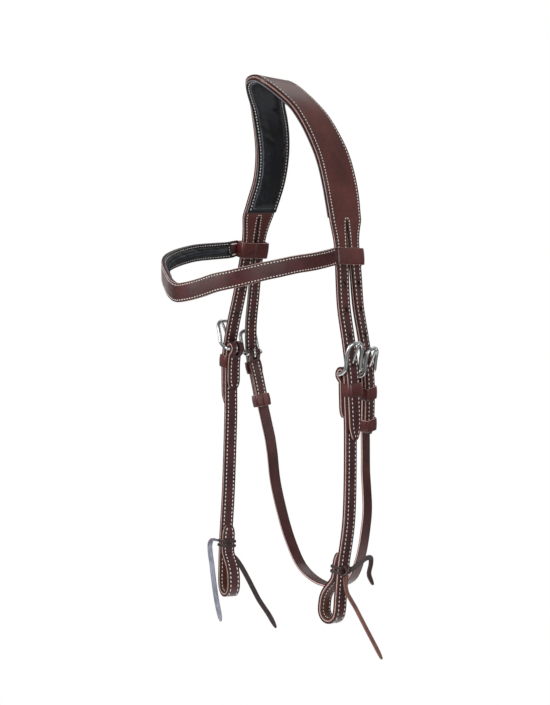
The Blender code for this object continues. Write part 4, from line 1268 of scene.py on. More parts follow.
def hang_stops(shares: Rows) -> list[tuple[float, float, float, float]]:
    """A line's stops in metres, from its table of shares."""
    return [(HANG_DROP * down, HANG_SPREAD * out, HANG_BACK * back, toe) for down, out, back, toe in shares]


@dataclass(frozen=True)
class Drops:
    """How far below the poll, or below its bar, each fitting of one side lies, in metres."""

    browband: float = 0.1605
    cheek_bar: float = 0.2693
    throat_bar: float = 0.2723
    cheek_bend: float = 0.0285
    throat_bend: float = 0.0272
    bit_loop: float = 0.5120
    return_end: float = 0.4430


class Hang:
    """One side's two hang lines, with the runs of its buckles' bars and its billets' bends."""

    def __init__(self, side: Side, drops: Drops) -> None:
        """Makes the lines and measures the runs down them.

        Args:
            side: which side it is.
            drops: how far down its fittings lie.
        """
        self.side = side
        self.drops = drops
        self.front = HangLine(hang_stops(FRONT_LINE_SHARES), side)
        self.rear = HangLine(hang_stops(REAR_LINE_SHARES), side)
        self.cheek_bar = self.front.run_at(drops.cheek_bar)
        self.throat_bar = self.rear.run_at(drops.throat_bar)
        self.cheek_bend = self.cheek_bar - drops.cheek_bend
        self.throat_bend = self.throat_bar - drops.throat_bend

    def name(self, part: str) -> str:
        """A name that starts with this side's word."""
        return f"{self.side.word}_{part}"


@dataclass(frozen=True)
class Ring:
    """A leather band round a stack of straps: its inside and how it is cut.

    A band with tucked ends is skived thin there and held between the two leaves below it, so its low
    is the lift between them. Another band goes all round.
    """

    half: float
    low: float
    high: float
    tucked: bool = False
    wall: float = STOCK.wall
    height: float = 0.0124
    corner: float = 0.0030
    dome: float = 0.0005
    turn_steps: int = 6
    tuck: float = 0.0022
    skived: float = 0.14
    spacing: float = 0.0018
    line_spacing: float = 0.0016

    def lay(self, frame: Frame) -> StrapLay:
        """A lay round the band's inside, from the middle of its back, or a tucked end, and round again.

        Args:
            frame: the point that the band is measured from, and the directions across, out and down.

        Returns:
            The lay, whose across runs down the strap.
        """
        point, across, out, down = frame
        radius = self.corner / 2
        under = radius / 4 if self.tucked else radius
        corners = (
            (-self.half + under, self.low + under, 2, under),
            (-self.half + radius, self.high - radius, 1, radius),
            (self.half - radius, self.high - radius, 0, radius),
            (self.half - under, self.low + under, -1, under),
        )
        end = self.half - self.tuck if self.tucked else 0.0
        rows = [(-end, self.low, 0.0, -1.0)]
        for a, n, quarter, turned in corners:
            for step in range(self.turn_steps + 1):
                turn = (quarter + 1 - step / self.turn_steps) * math.pi / 2
                aside, up = math.cos(turn), math.sin(turn)
                rows.append((a + turned * aside, n + turned * up, aside, up))
        rows.append((end, self.low, 0.0, -1.0))
        table = np.array(rows)
        points = point + np.outer(table[:, 0], across) + np.outer(table[:, 1], out)
        faces = np.outer(table[:, 2], across) + np.outer(table[:, 3], out)
        return StrapLay(points, np.tile(down, (len(table), 1)), faces)

    def cut(self, name: str, frame: Frame, finish: Finish) -> Piece:
        """Cuts the band, folds it round its place and closes it at its back.

        Args:
            name: the piece's name.
            frame: as in lay.
            finish: what it is finished in.

        Returns:
            The piece.
        """
        lay = self.lay(frame)
        stations = [lay.runs[0]]
        for first, last in zip(lay.runs[:-1], lay.runs[1:]):
            stations += spread(first, last, self.spacing)[1:] if last - first > STOCK.edge / 10 else [last]
        whole = not self.tucked
        lines = spread(-self.height / 2, self.height / 2, self.line_spacing)
        blank = Blank(sorted(set(stations)), lines, joined=(whole, whole))
        blank.thicken(0.0, self.wall, self.dome)
        blank.round_edges(STOCK.edge * 0.9)
        if self.tucked:
            for vert in blank.mesh.verts:
                hidden = min(vert.co.x, lay.length - vert.co.x)
                vert.co.z *= float(np.interp(hidden, (self.tuck, self.tuck * 1.6), (self.skived, 1.0)))
        return blank.lay(name, lay, finish, flat_faces=False)


# The crown

CROWN_SPREAD = 0.0714
CROWN_SET_BACK = 0.0560
CROWN_DROP = 0.1277

# Out in CROWN_SPREAD, back in CROWN_SET_BACK, up in CROWN_DROP, from the poll to the slit's top
CROWN_FRONT_SHARES = (
    (0.0, -0.38, 0.069), (0.09, -0.385, 0.064), (0.17, -0.375, 0.046), (0.245, -0.32, 0.017),
    (0.315, -0.24, -0.022), (0.385, -0.142, -0.07), (0.45, -0.035, -0.125), (0.545, 0.11, -0.243),
    (0.62, 0.23, -0.376), (0.69, 0.32, -0.512), (0.791, 0.364, -0.707), (0.903, 0.339, -0.861),
    (0.953, 0.326, -0.932), (1.0, 0.3135, -1.0),
)
CROWN_REAR_SHARES = (
    (0.0, 0.345, 0.025), (0.06, 0.36, 0.016), (0.115, 0.38, 0.002), (0.17, 0.412, -0.019),
    (0.225, 0.455, -0.046), (0.287, 0.515, -0.082), (0.348, 0.585, -0.125), (0.458, 0.735, -0.224),
    (0.56, 0.863, -0.35), (0.672, 0.96, -0.492), (0.812, 1.003, -0.705), (0.916, 0.972, -0.861),
    (0.96, 0.946, -0.932), (1.0, 0.92, -1.0),
)


@dataclass(frozen=True)
class Filling:
    """How soft leather is blown up over its foam, as a cloth that is a little too large for its place."""

    pressure: float = 2.2
    growth: float = 0.014
    frames: int = 26
    enlarged: float = 10.0
    unevenness: float = 0.003
    seed: int = 11

    def blow(self, name: str, mesh: bmesh.types.BMesh, held: Sequence[bool]) -> Array:
        """Lets the cloth come to rest.

        Args:
            name: the piece's name.
            mesh: the flat leather, already arched a little.
            held: whether each point is sewn down.

        Returns:
            Where each point comes to rest.
        """
        start = np.array([vert.co for vert in mesh.verts])
        data = bpy.data.meshes.new(name)
        mesh.to_mesh(data)
        chance = np.random.default_rng(self.seed)
        free = ~np.asarray(held)
        begun = start * self.enlarged
        begun[free, 2] += chance.normal(0.0, self.unevenness, int(free.sum()))
        data.vertices.foreach_set("co", begun.astype(np.float32).ravel())
        cloth = bpy.data.objects.new(name, data)
        bpy.context.scene.collection.objects.link(cloth)
        sewn = cloth.vertex_groups.new(name="sewn")
        sewn.add([index for index, fixed in enumerate(held) if fixed], 1.0, "REPLACE")
        modifier = cloth.modifiers.new("Filling", "CLOTH")
        settings = modifier.settings
        settings.quality = 7
        settings.mass = 0.4
        settings.tension_stiffness = 24.0
        settings.compression_stiffness = 24.0
        settings.shear_stiffness = 9.0
        settings.bending_stiffness = 3.0
        settings.air_damping = 6.0
        settings.vertex_group_mass = "sewn"
        settings.shrink_min = -self.growth
        settings.use_pressure = True
        settings.uniform_pressure_force = self.pressure
        settings.effector_weights.gravity = 0.0
        modifier.collision_settings.use_collision = False
        modifier.point_cache.frame_end = self.frames
        scene = bpy.context.scene
        for moment in range(1, self.frames + 1):
            scene.frame_set(moment)
        rested = cloth.evaluated_get(bpy.context.evaluated_depsgraph_get()).data
        points = np.empty(len(start) * 3, dtype=np.float32)
        rested.vertices.foreach_get("co", points)
        scene.frame_set(1)
        bpy.data.objects.remove(cloth)
        bpy.data.meshes.remove(data)
        return points.reshape(-1, 3) / self.enlarged


@dataclass
class Pad:
    """Soft leather over foam along a strap's inner face, sewn down along its margins."""

    name: str
    lay: Lay
    half: Width
    height: float
    margin: float
    ends: tuple[float, float]
    arch: Callable[[float], float] = lambda share: 1 - share**2
    hem: float = STOCK.lining
    rows: float = 0.0022
    columns: float = 0.0012
    most: float = 1.2
    finish: LiningLeather = LINING
    filling: Filling = Filling()

    def rise(self, run: float, across: float) -> float:
        """How far the foam stands up from the hem at a point.

        Args:
            run: the point's run.
            across: how far it is from the middle.

        Returns:
            The rise.
        """
        low, high = self.ends
        inner = self.half(run) - self.margin
        from_end = min(run - low, high - run) - self.margin
        fade = math.sqrt(min(max(from_end / self.margin, 0.0), 1.0))
        return self.height * fade * max(self.arch(min(abs(across) / inner, 1.0)), 0.0)

    def cut(self) -> Piece:
        """Makes the pad as one closed piece.

        Returns:
            The piece.
        """
        low, high = self.ends
        full = max(self.half(run) for run in np.linspace(low, high, 9))
        blank = Blank(spread(low, high, self.rows), spread(-full, full, self.columns), self.half)
        flat = np.array([vert.co for vert in blank.mesh.verts])
        arched = np.array([self.rise(run, across) for run, across, _ in flat])
        rested = np.column_stack((flat[:, :2], arched))
        for vert, lift in zip(blank.mesh.verts, arched):
            vert.co.z = lift
        rested = self.filling.blow(self.name, blank.mesh, arched < self.hem / 20)
        rested[:, 2] = np.clip(rested[:, 2], 0.0, np.maximum(arched * self.most, self.hem / 4))
        for vert in blank.mesh.verts:
            vert.co.z = 0.0
        settled = {(round(x, 6), round(y, 6)): point for (x, y, _), point in zip(flat, rested)}
        blank.thicken(-STOCK.gap, -STOCK.gap - self.hem)
        for vert in blank.mesh.verts:
            if vert.co.z < -STOCK.gap - self.hem / 2:
                run, across, lift = settled[(round(vert.co.x, 6), round(vert.co.y, 6))]
                vert.co = (run, across, vert.co.z - lift)
        blank.round_edges(STOCK.edge)
        return blank.lay(self.name, self.lay, self.finish)


@dataclass
class Crown:
    """The crown over the poll: two plies that fork to the billets, their stitching and the pad."""

    hangs: dict[Side, Hang]
    root_width: float = 0.0161
    neck_spare: float = 0.0003
    loop_height: float = 0.0160
    pad_height: float = 0.0048
    pad_margin: float = 0.0045
    pad_reach: float = 0.965
    pad_overhang: float = 0.0006
    slit_margin: float = 0.0026
    seam_end: float = 0.0015
    row_spacing: float = 0.0040

    def billet_row(self, hang: Hang, share: float) -> list[Array]:
        """The four edges of the two billets at a share of the way from the slit's top to the browband.

        Args:
            hang: the side's lines.
            share: the share of the way.

        Returns:
            Front and rear edge of the front billet, then of the rear one.
        """
        row = []
        drops = hang.drops
        for line, width in ((hang.front, STOCK.strap), (hang.rear, STOCK.throat_strap)):
            end = line.run_at(drops.browband)
            run = end * share
            half = float(np.interp(
                run, (0.0, line.run_at(drops.browband - self.loop_height), end),
                (self.root_width / 2, width / 2 + self.neck_spare, width / 2),
            ))
            row += [line.at(run, 0.0, -half), line.at(run, 0.0, half)]
        return row

    def face(self) -> CrownLay:
        """The crown's inner face.

        Returns:
            The face's lay.
        """
        scale = np.array((CROWN_SPREAD, CROWN_SET_BACK, CROWN_DROP))
        edges = []
        for shares in (CROWN_FRONT_SHARES, CROWN_REAR_SHARES):
            rows = np.array(shares) * scale
            edges.append(np.concatenate((rows[:0:-1] * np.array((-1, 1, 1)), rows)))
        front, rear = edges
        middle = (front + rear) / 2
        slit = unit(rear - front) * CrownLay.SLIT
        over = np.stack((front, middle - slit, middle + slit, rear), axis=1)
        forks = {
            side: np.array([self.billet_row(hang, share) for share in np.linspace(0, 1, 6)[1:]])
            for side, hang in self.hangs.items()
        }
        rows = np.concatenate((forks[Side.RIGHT][::-1], over, forks[Side.LEFT]))
        smooth = fair(rows.reshape(len(rows), 12), self.row_spacing).reshape(-1, 4, 3)
        return CrownLay(smooth, CROWN_DROP)

    def lines(self, full: float) -> list[float]:
        """The lines ruled across the crown, close together at its edges and its slits.

        Args:
            full: the crown's greatest half width.

        Returns:
            The lines.
        """
        slit = CrownLay.SLIT
        between = np.linspace(slit + 0.0030, full - 0.0022, 8)
        return mirrored([slit, slit + 0.0012, *between, full - 0.0008, full])

    def build(self) -> None:
        """Makes the crown's pieces."""
        lay = self.face()
        low, high = lay.fork_runs
        stations = stations_with(spread(0.0, lay.length, self.row_spacing), (low, high), 0.0015)
        full = max(lay.half(run) for run in stations)
        plies = {
            Ply.INNER: (0.0, STOCK.ply, "crown_backing"),
            Ply.OUTER: (STOCK.ply + STOCK.gap, STOCK.doubled, "crown_outer"),
        }
        for ply, (bottom, top, node) in plies.items():
            blank = Blank(stations, self.lines(full), lay.half, joined=(True, True), kept=CrownLay.SLIT)
            blank.open(0.0, low, CrownLay.SLIT)
            blank.open(high, lay.length, CrownLay.SLIT)
            blank.thicken(bottom, top)
            blank.round_edges()
            attach(blank.lay(f"crown_{ply.value}_ply", lay, CHESTNUT), "crown", Slot.LEATHER, node)
        self.sew(lay)
        centre = lay.length / 2
        reach = self.pad_length(lay)
        pad = Pad(
            "crown_pad", lay, lambda run: lay.half(run) + self.pad_overhang, self.pad_height,
            self.pad_margin + self.pad_overhang, (centre - reach, centre + reach), lambda share: 1 - share**7,
        )
        piece = pad.cut()
        attach(piece, "crown", Slot.LINING, "crown_pad_cover", "crown_pad_core")

    def pad_length(self, lay: CrownLay) -> float:
        """How far each end of the pad lies from the middle."""
        low, high = lay.fork_runs
        return (high - low) / 2 * self.pad_reach

    def sew(self, lay: CrownLay) -> None:
        """Sews the crown's outer face, the forks' inner face and the pad's margins.

        Args:
            lay: the crown's face.
        """
        low, high = lay.fork_runs
        margin = STOCK.stitch_margin
        thread = Stitching(lay, pitch=0.0031, length=0.0021, thick=0.00095)
        tips = (self.seam_end, lay.length - self.seam_end)
        thread.rows(*tips, lambda run: lay.half(run) - margin, STOCK.doubled)
        centre, reach = lay.length / 2, self.pad_length(lay)
        for sign in (-1, 1):
            for lift in (STOCK.doubled, 0.0):
                thread.row(self.arch(lay, sign), lift)
            tip = tips[0 if sign < 0 else 1]
            for aside in (-1, 1):
                fork = np.linspace(centre + sign * (reach + 0.001), tip, 12)
                thread.row([(run, aside * (lay.half(run) - margin)) for run in fork], 0.0)
        attach(thread.finish("crown_face_stitches"), "crown")
        inner = Stitching(lay, pitch=0.0034, length=0.0024, thick=0.00125)
        lift = -STOCK.gap - STOCK.lining
        inner.rows(centre - reach + 0.003, centre + reach - 0.003, lambda run: lay.half(run) - 0.0026, lift)
        attach(inner.finish("crown_pad_stitches"), "crown")

    def arch(self, lay: CrownLay, sign: int) -> list[tuple[float, float]]:
        """The stitches up one side of a slit, round its top and down the other: run and across.

        Args:
            lay: the crown's face.
            sign: 1 for the left slit, -1 for the right.

        Returns:
            The row.
        """
        top = lay.fork_runs[0 if sign < 0 else 1]
        tip = self.seam_end if sign < 0 else lay.length - self.seam_end
        aside = self.slit_margin
        legs = np.linspace(tip, top, 10)
        turns = np.linspace(0.0, math.pi, 9)[1:-1]
        crest = [(top - sign * aside * 1.3 * math.sin(turn), -aside * math.cos(turn)) for turn in turns]
        return [(run, -aside) for run in legs] + crest + [(run, aside) for run in legs[::-1]]


@dataclass
class Billets:
    """One side's two billets below the browband, punched, and closed over their buckles."""

    hang: Hang
    hole: float = 0.0019
    square_share: float = 1.7
    inner_share: float = 0.5
    tongue_share: float = 1.05
    pitch: float = 0.0254
    cheek_holes: float = 0.0353
    throat_holes: float = 0.0375
    cheek_tail: float = 0.0630
    throat_tail: float = 0.0590
    point: float = 0.0130
    blunt: float = 0.16
    blend_half: float = 0.0080

    def build(self) -> None:
        """Makes both billets."""
        hang = self.hang
        self.strap(
            "cheek", hang.front, hang.cheek_bar, hang.cheek_bend, STOCK.strap, self.cheek_tail,
            self.cheek_holes, hang.name("cheek"),
        )
        self.strap(
            "throat", hang.rear, hang.throat_bar, hang.throat_bend, STOCK.throat_strap, self.throat_tail,
            self.throat_holes, "throatlatch",
        )

    def strap(
        self, kind: str, line: HangLine, bar: float, bend_run: float, width: float, tail_drop: float,
        hole_rise: float, below: str,
    ) -> None:
        """Makes one billet.

        Args:
            kind: cheek or throat.
            line: the hang line that it lies on.
            bar: the run of its buckle's bar.
            bend_run: the run at which it bends when its strap swings.
            width: its width.
            tail_drop: how far its end lies below the bar.
            hole_rise: how far its first spare hole lies above the bar.
            below: the body below the bend.
        """
        start = line.run_at(self.hang.drops.browband)
        tail = bar + tail_drop
        path = np.column_stack((np.linspace(start, tail, 60), np.zeros(60)))
        lay = StrapLay.on_line(line, path)
        length = lay.length
        scale = length / (tail - start)

        def flat(run: float) -> float:
            """The run on the flat leather for a run down the line."""
            return (run - start) * scale

        def half(run: float) -> float:
            """The half width, which narrows to a blunt point."""
            tip = min(max((length - run) / self.point, 0.0), 1.0)
            return width / 2 * (self.blunt + (1 - self.blunt) * math.sqrt(tip))

        tongue = Tongue.hole_on(self.hang, kind)
        holes = [bar - hole_rise - index * self.pitch for index in range(3)]
        square = self.hole * self.square_share
        marks = []
        for run in (*holes, tongue[0]):
            marks += [flat(run) - square, flat(run), flat(run) + square]
        ends = [length - self.point * share for share in (0.75, 0.5, 0.3, 0.17, 0.08, 0.03)]
        stations = stations_with(spread(0.0, length, 0.0040), [*marks, *ends], 0.0012)
        side = [0.0, square, width / 2 - 0.0014, width / 2]
        pieces = []
        for ply, bottom, top in (
            (Ply.INNER, 0.0, STOCK.ply), (Ply.OUTER, STOCK.ply + STOCK.gap, STOCK.doubled),
        ):
            blank = Blank(stations, mirrored(side), half, joined=(True, False))
            for run in holes:
                blank.punch(flat(run), self.hole if ply is Ply.OUTER else self.hole * self.inner_share)
            blank.punch(flat(tongue[0]), self.hole * self.tongue_share, tongue[1])
            blank.thicken(bottom, top, 0.00025 if ply is Ply.OUTER else 0.0)
            blank.round_edges()
            piece = blank.lay(self.hang.name(f"{kind}_billet_{ply.value}_ply"), lay, DARK_CHESTNUT)
            pieces.append((piece, self.hang.name(f"{kind}_billet_{ply.value}")))
        thread = Stitching(lay)
        for lift in (STOCK.doubled, 0.0):
            thread.rows(0.002, length - 0.0018, beside_edge(half), lift)
        steps = (-self.blend_half, self.blend_half)
        ends_at = tuple(line.at(bend_run + step, STOCK.doubled / 2) for step in steps)
        for piece, node in pieces:
            bend(piece, ("crown", below), ends_at, Slot.LEATHER, node)
        bend(thread.finish(self.hang.name(f"{kind}_billet_stitches")), ("crown", below), ends_at)


# The browband

BROWBAND_SPREAD = 0.0855
BROWBAND_REACH = 0.1085
BROWBAND_DIP = 0.0325

# Out in BROWBAND_SPREAD, forward in BROWBAND_REACH, and down in BROWBAND_DIP on the left and the right
BROWBAND_SHARES = (
    (1.0, 0.092, 0.06, 0.0), (0.985, 0.31, 0.14, 0.035), (0.945, 0.455, 0.23, 0.1),
    (0.885, 0.57, 0.31, 0.16), (0.805, 0.695, 0.42, 0.26), (0.68, 0.8, 0.54, 0.385),
    (0.525, 0.875, 0.65, 0.545), (0.35, 0.93, 0.81, 0.745), (0.17, 0.98, 0.94, 0.91),
    (0.0, 1.0, 1.0, 1.0),
)


@dataclass
class Browband:
    """The browband: its face, its padded lining and the loops, held by long stitches, for the billets."""

    hangs: dict[Side, Hang]
    play: float = 0.0016
    ply: float = 0.0026
    height: float = 0.0184
    end_height: float = 0.0165
    loop_height: float = 0.0160
    loop_stitch: float = 0.0065
    pad_height: float = 0.0040
    pad_margin: float = 0.0032
    lining_start: float = 0.0075
    start_share: float = 0.2

    def loop_frame(self, hang: Hang) -> tuple[tuple[Array, ...], float]:
        """The middle of one side's billets in the loop, with its directions, and the loop's half width.

        Args:
            hang: the side's lines.

        Returns:
            The frame and the half width.
        """
        front, rear = (line.frame(line.run_at(hang.drops.browband)) for line in (hang.front, hang.rear))
        one = front[0] - front[1] * STOCK.strap / 2
        two = rear[0] + rear[1] * STOCK.throat_strap / 2
        directions = [unit(ahead + behind) for ahead, behind in zip(front[1:], rear[1:])]
        return ((one + two) / 2, *directions), float(np.linalg.norm(two - one)) / 2 + self.play

    def face(self) -> StrapLay:
        """The lay of the leather's inner face from the left loop round the brow to the right one.

        Returns:
            The face's lay.
        """
        hang = self.hangs[Side.LEFT]
        (middle, across, loop_out, down), half = self.loop_frame(hang)
        end = middle - across * (half + STOCK.loop_wall + STOCK.gap)
        end = end + loop_out * (STOCK.doubled + self.play + STOCK.loop_wall - self.ply)
        scale = np.array((BROWBAND_SPREAD, -BROWBAND_REACH, -BROWBAND_DIP, -BROWBAND_DIP))
        rows = np.array(BROWBAND_SHARES) * scale
        level = np.array((0.0, 0.0, hang.drops.browband))
        left = rows[:, :3] - level
        right = (rows[:, (0, 1, 3)] - level) * np.array((-1, 1, 1))
        ends = np.stack((end, end + (left[0] - end) * self.start_share))
        points = np.concatenate((ends, left, right[-2::-1], ends[::-1] * np.array((-1, 1, 1))))
        tangents = unit(np.gradient(points, axis=0))
        ups = unit(np.array((0.0, 0.0, 1.0)) - tangents * tangents[:, 2:3])
        outs = np.cross(tangents, ups)
        outs *= np.sign(np.sum(outs * points * np.array((1, 1, 0)), axis=1))[:, None]
        for index, flip in ((0, np.array((1, 1, 1))), (-1, np.array((-1, 1, 1)))):
            ups[index], outs[index] = -down * flip, loop_out * flip
        return StrapLay.faired(np.column_stack((points, ups, outs)), 0.0030)

    def build(self) -> None:
        """Makes the browband's pieces."""
        lay = self.face()
        length = lay.length

        def half(run: float) -> float:
            """The half height, which is least at the loops."""
            share = abs(2 * run / length - 1)
            return (self.height + (self.end_height - self.height) * share) / 2

        side = [0.0012, 0.0028, 0.0042, 0.0056, 0.0066, 0.0076, 0.0086, self.height / 2]
        blank = Blank(spread(0.0, length, 0.0035), mirrored(side), half, joined=(True, True))
        blank.thicken(0.0, self.ply, 0.0004)
        blank.round_edges()
        attach(blank.lay("browband_leather", lay, DARK_CHESTNUT), "browband", Slot.LEATHER, "browband_face")
        thread = Stitching(lay, pitch=0.0030, length=0.0020, thick=0.00105)
        thread.rows(0.002, length - 0.002, lambda run: half(run) - STOCK.stitch_margin, self.ply + 0.0001)
        attach(thread.finish("browband_face_stitches"), "browband")
        lining_ends = (self.lining_start, length - self.lining_start)
        pad = Pad(
            "browband_pad", lay, lambda run: half(run) - STOCK.gap, self.pad_height, self.pad_margin,
            lining_ends, arch=lambda share: 0.6 * (1 - share**4) + 0.4 * math.exp(-(share / 0.3) ** 4),
            finish=RIBBED_LINING,
        )
        piece = pad.cut()
        attach(piece, "browband", Slot.LINING, "browband_lining", "browband_core")
        inner = Stitching(lay, pitch=0.0030, length=0.0021, thick=0.0007)
        lift = -STOCK.gap - STOCK.lining
        first, last = lining_ends[0] + 0.002, lining_ends[1] - 0.002
        inner.rows(first, last, lambda run: half(run) - 0.0023, lift)
        for run in (first, last):
            inner.row([(run, 0.0045 - half(run)), (run, half(run) - 0.0045)], lift)
        attach(inner.finish("browband_pad_stitches"), "browband")
        holding = Stitching(lay, self.loop_stitch, self.loop_stitch, 0.0014)
        for run in (0.0003, length - 0.0003 - self.loop_stitch):
            for aside in (-self.loop_height / 2 + 0.0026, self.loop_height / 2 - 0.0026):
                holding.row([(run, aside), (run + self.loop_stitch, aside)], 0.0)
        attach(holding.finish("browband_loop_stitches"), "browband")
        for hang in self.hangs.values():
            self.loop(hang)

    def loop(self, hang: Hang) -> None:
        """Makes one side's loop round the billets.

        Args:
            hang: the side's lines.
        """
        frame, half = self.loop_frame(hang)
        room = self.play + STOCK.thread_room
        ring = Ring(
            half + STOCK.thread_room, -room, STOCK.doubled + room, wall=STOCK.loop_wall - STOCK.thread_room,
            height=self.loop_height,
        )
        name = f"browband_loop_{hang.side.word}"
        attach(ring.cut(f"{name}_band", frame, GLAZED), "browband", Slot.LOOP, name)


# Cheeks, throatlatch and their fittings

# From the bar's middle to the arch's: across in the half width, up in the rise, out in the reach
BUCKLE_SHARES = (
    (0.0, 0.0, 0.0), (0.45, 0.0, 0.0), (0.84, 0.0, 0.0), (0.98, 0.0, 0.06), (1.0, 0.01, 0.18),
    (1.0, 0.04, 0.36), (1.0, 0.13, 0.51), (1.0, 0.29, 0.59), (1.0, 0.48, 0.67), (1.0, 0.66, 0.77),
    (0.94, 0.81, 0.87), (0.78, 0.92, 0.94), (0.46, 0.98, 0.985), (0.0, 1.0, 1.0),
)

# The bit loop's inner side: up in its length, in from the outer leaf in its depth
BIT_LOOP_SHARES = ((0.3, 1.0), (0.46, 0.97), (0.62, 0.82), (0.78, 0.55), (0.91, 0.33))
CHEEK_RETURN_SHARES = (1.0, 0.88, 0.76, 0.5, 0.25, 0.165)
THROAT_RETURN_SHARES = (1.0, 0.92, 0.84, 0.6, 0.35, 0.14)
POINT_SHARES = (0.03, 0.1, 0.2, 0.35, 0.55, 0.8)
LOOP_RETURN_SHARES = (0.05, 0.25, 0.55, 0.8, 1.0)


@dataclass(frozen=True)
class Buckle:
    """The size of a buckle's frame over its bar."""

    rise: float
    reach: float
    width: float
    play: float = 0.0006

    def build(self, name: str, line: HangLine, bar: float, bar_lift: float) -> None:
        """Bends the frame's wire.

        Args:
            name: the CAD node that it stands for, on a body of the same name.
            line: the hang line that it lies on.
            bar: the run of its bar.
            bar_lift: the lift of its bar.
        """
        half = self.width / 2 + self.play + STOCK.wire / 2
        side = [(half * across, self.rise * up, self.reach * out) for across, up, out in BUCKLE_SHARES]
        rows = side + [(-across, up, out) for across, up, out in reversed(side[:-1])]
        smooth = fair(rows, 0.0012)[:-1]
        path = np.array([line.at(bar - up, bar_lift + out, across) for across, up, out in smooth])
        mesh = bend_wire(path, lambda share: STOCK.wire / 2, True, self.facing(path))
        attach(make_piece(f"{name}_wire", mesh, STEEL), name, Slot.STEEL, name)

    def facing(self, path: Array) -> Array:
        """A direction square to the frame, which its wire never follows."""
        corner = path[len(path) // 2] - path[0]
        return unit(np.cross(path[len(path) // 4] - path[0], corner))


@dataclass(frozen=True)
class Tongue:
    """A buckle's tongue: a hook round the bar and a shank that rests on the frame."""

    rise: float
    reach: float
    rest: float = 0.0004
    eye_play: float = 0.0007
    turn: float = math.radians(255)
    steps: int = 12

    def section(self, bar_lift: float) -> tuple[list[Array], Array]:
        """The hook's points and the tip, in up and lift.

        Args:
            bar_lift: the lift of the bar.

        Returns:
            The hook's points and the tip.
        """
        eye = STOCK.wire / 2 + self.eye_play + STOCK.tongue / 2
        rest = STOCK.wire / 2 + self.rest + STOCK.tongue / 2
        distance = math.hypot(self.rise, self.reach)
        lean = math.atan2(self.reach, self.rise) + math.asin((rest - eye) / distance)
        way = np.array((math.cos(lean), math.sin(lean)))
        aside = np.array((-way[1], way[0]))
        centre = np.array((0.0, bar_lift))
        turns = self.turn * (1 - np.arange(self.steps + 1) / self.steps)
        hook = [centre + eye * (aside * math.cos(turn) - way * math.sin(turn)) for turn in turns]
        length = math.sqrt(distance**2 - (rest - eye) ** 2) + STOCK.wire / 2
        return hook, hook[-1] + way * length

    @classmethod
    def hole_on(cls, hang: Hang, kind: str) -> tuple[float, float]:
        """The run at which the tongue passes the billet's inner face, and its slant along the run.

        Args:
            hang: the side's lines.
            kind: cheek or throat.

        Returns:
            The run and the slant.
        """
        fittings = fittings_on(hang.side)
        buckle = fittings.cheek if kind == "cheek" else fittings.throat
        bar = hang.cheek_bar if kind == "cheek" else hang.throat_bar
        bar_lift = fittings.bar_lift(kind)
        hook, tip = cls(buckle.rise, buckle.reach).section(bar_lift)
        up, lift = hook[-1]
        slope = (tip[0] - up) / (tip[1] - lift)
        return bar - (up - lift * slope), -slope

    def build(self, name: str, line: HangLine, bar: float, bar_lift: float) -> None:
        """Bends the tongue's wire, with a rounded tip.

        Args:
            name: the CAD node that it stands for, on a body of the same name.
            line: the hang line that it lies on.
            bar: the run of its bar.
            bar_lift: the lift of its bar.
        """
        hook, tip = self.section(bar_lift)
        bent = np.array([line.at(bar - up, lift) for up, lift in hook])
        end = line.at(bar - tip[0], tip[1])
        shares = np.linspace(0.0, 1.0, 14)[1:, None]
        path = np.concatenate((bent, bent[-1] + (end - bent[-1]) * shares))

        def radius(share: float) -> float:
            """Full round, a little drawn down towards the tip."""
            return STOCK.tongue / 2 * (1.0 if share < 0.9 else 1.0 - 1.6 * (share - 0.9))

        mesh = bend_wire(path, radius, False, line.frame(bar)[1])
        rims = [edge for edge in mesh.edges if any(len(face.verts) > 4 for face in edge.link_faces)]
        bmesh.ops.bevel(
            mesh, geom=rims, offset=STOCK.tongue * 0.3, segments=3, profile=0.5, affect="EDGES", material=-1,
        )
        attach(make_piece(f"{name}_wire", mesh, STEEL), name, Slot.STEEL, name)


@dataclass(frozen=True)
class Fittings:
    """One side's buckles and keepers."""

    cheek: Buckle
    throat: Buckle
    cheek_keeper: float
    throat_keeper: float
    running_keeper: float = 0.0500
    play: float = 0.0005

    def bar_lift(self, kind: str) -> float:
        """The lift of the bar of the cheek's buckle, or of the throat's.

        Args:
            kind: cheek or throat.

        Returns:
            The lift.
        """
        if kind == "cheek":
            return STOCK.leaf_lift - STOCK.cheek_fold
        return STOCK.throat_lift - STOCK.throat_fold


def fittings_on(side: Side) -> Fittings:
    """The fittings of one side, as its straps are buckled up in the photo.

    Args:
        side: which side it is.

    Returns:
        Its fittings.
    """
    if side is Side.LEFT:
        return Fittings(
            Buckle(0.0265, 0.0223, STOCK.strap), Buckle(0.0240, 0.0175, STOCK.throat_strap), 0.0154, 0.0180,
        )
    return Fittings(
        Buckle(0.0200, 0.0283, STOCK.strap), Buckle(0.0190, 0.0205, STOCK.throat_strap), 0.0154, 0.0150,
    )


def tapered(length: float, half: float, point: float, start: bool, end: bool, blunt: float = 0.3) -> Width:
    """A half width that narrows to a blunt, rounded end.

    Args:
        length: the leather's length.
        half: its full half width.
        point: how long the narrowing is.
        start: whether it narrows at its start.
        end: whether it narrows at its end.
        blunt: the share of the width left at the very end.

    Returns:
        The half width at a run.
    """

    def width(run: float) -> float:
        """The half width at a run.

        Args:
            run: how far along the leather.

        Returns:
            The half width.
        """
        near = run if start else length
        far = length - run if end else length
        share = min(max(min(near, far) / point, 0.0), 1.0)
        return half * (blunt + (1 - blunt) * math.sqrt(share * (2 - share)))

    return width


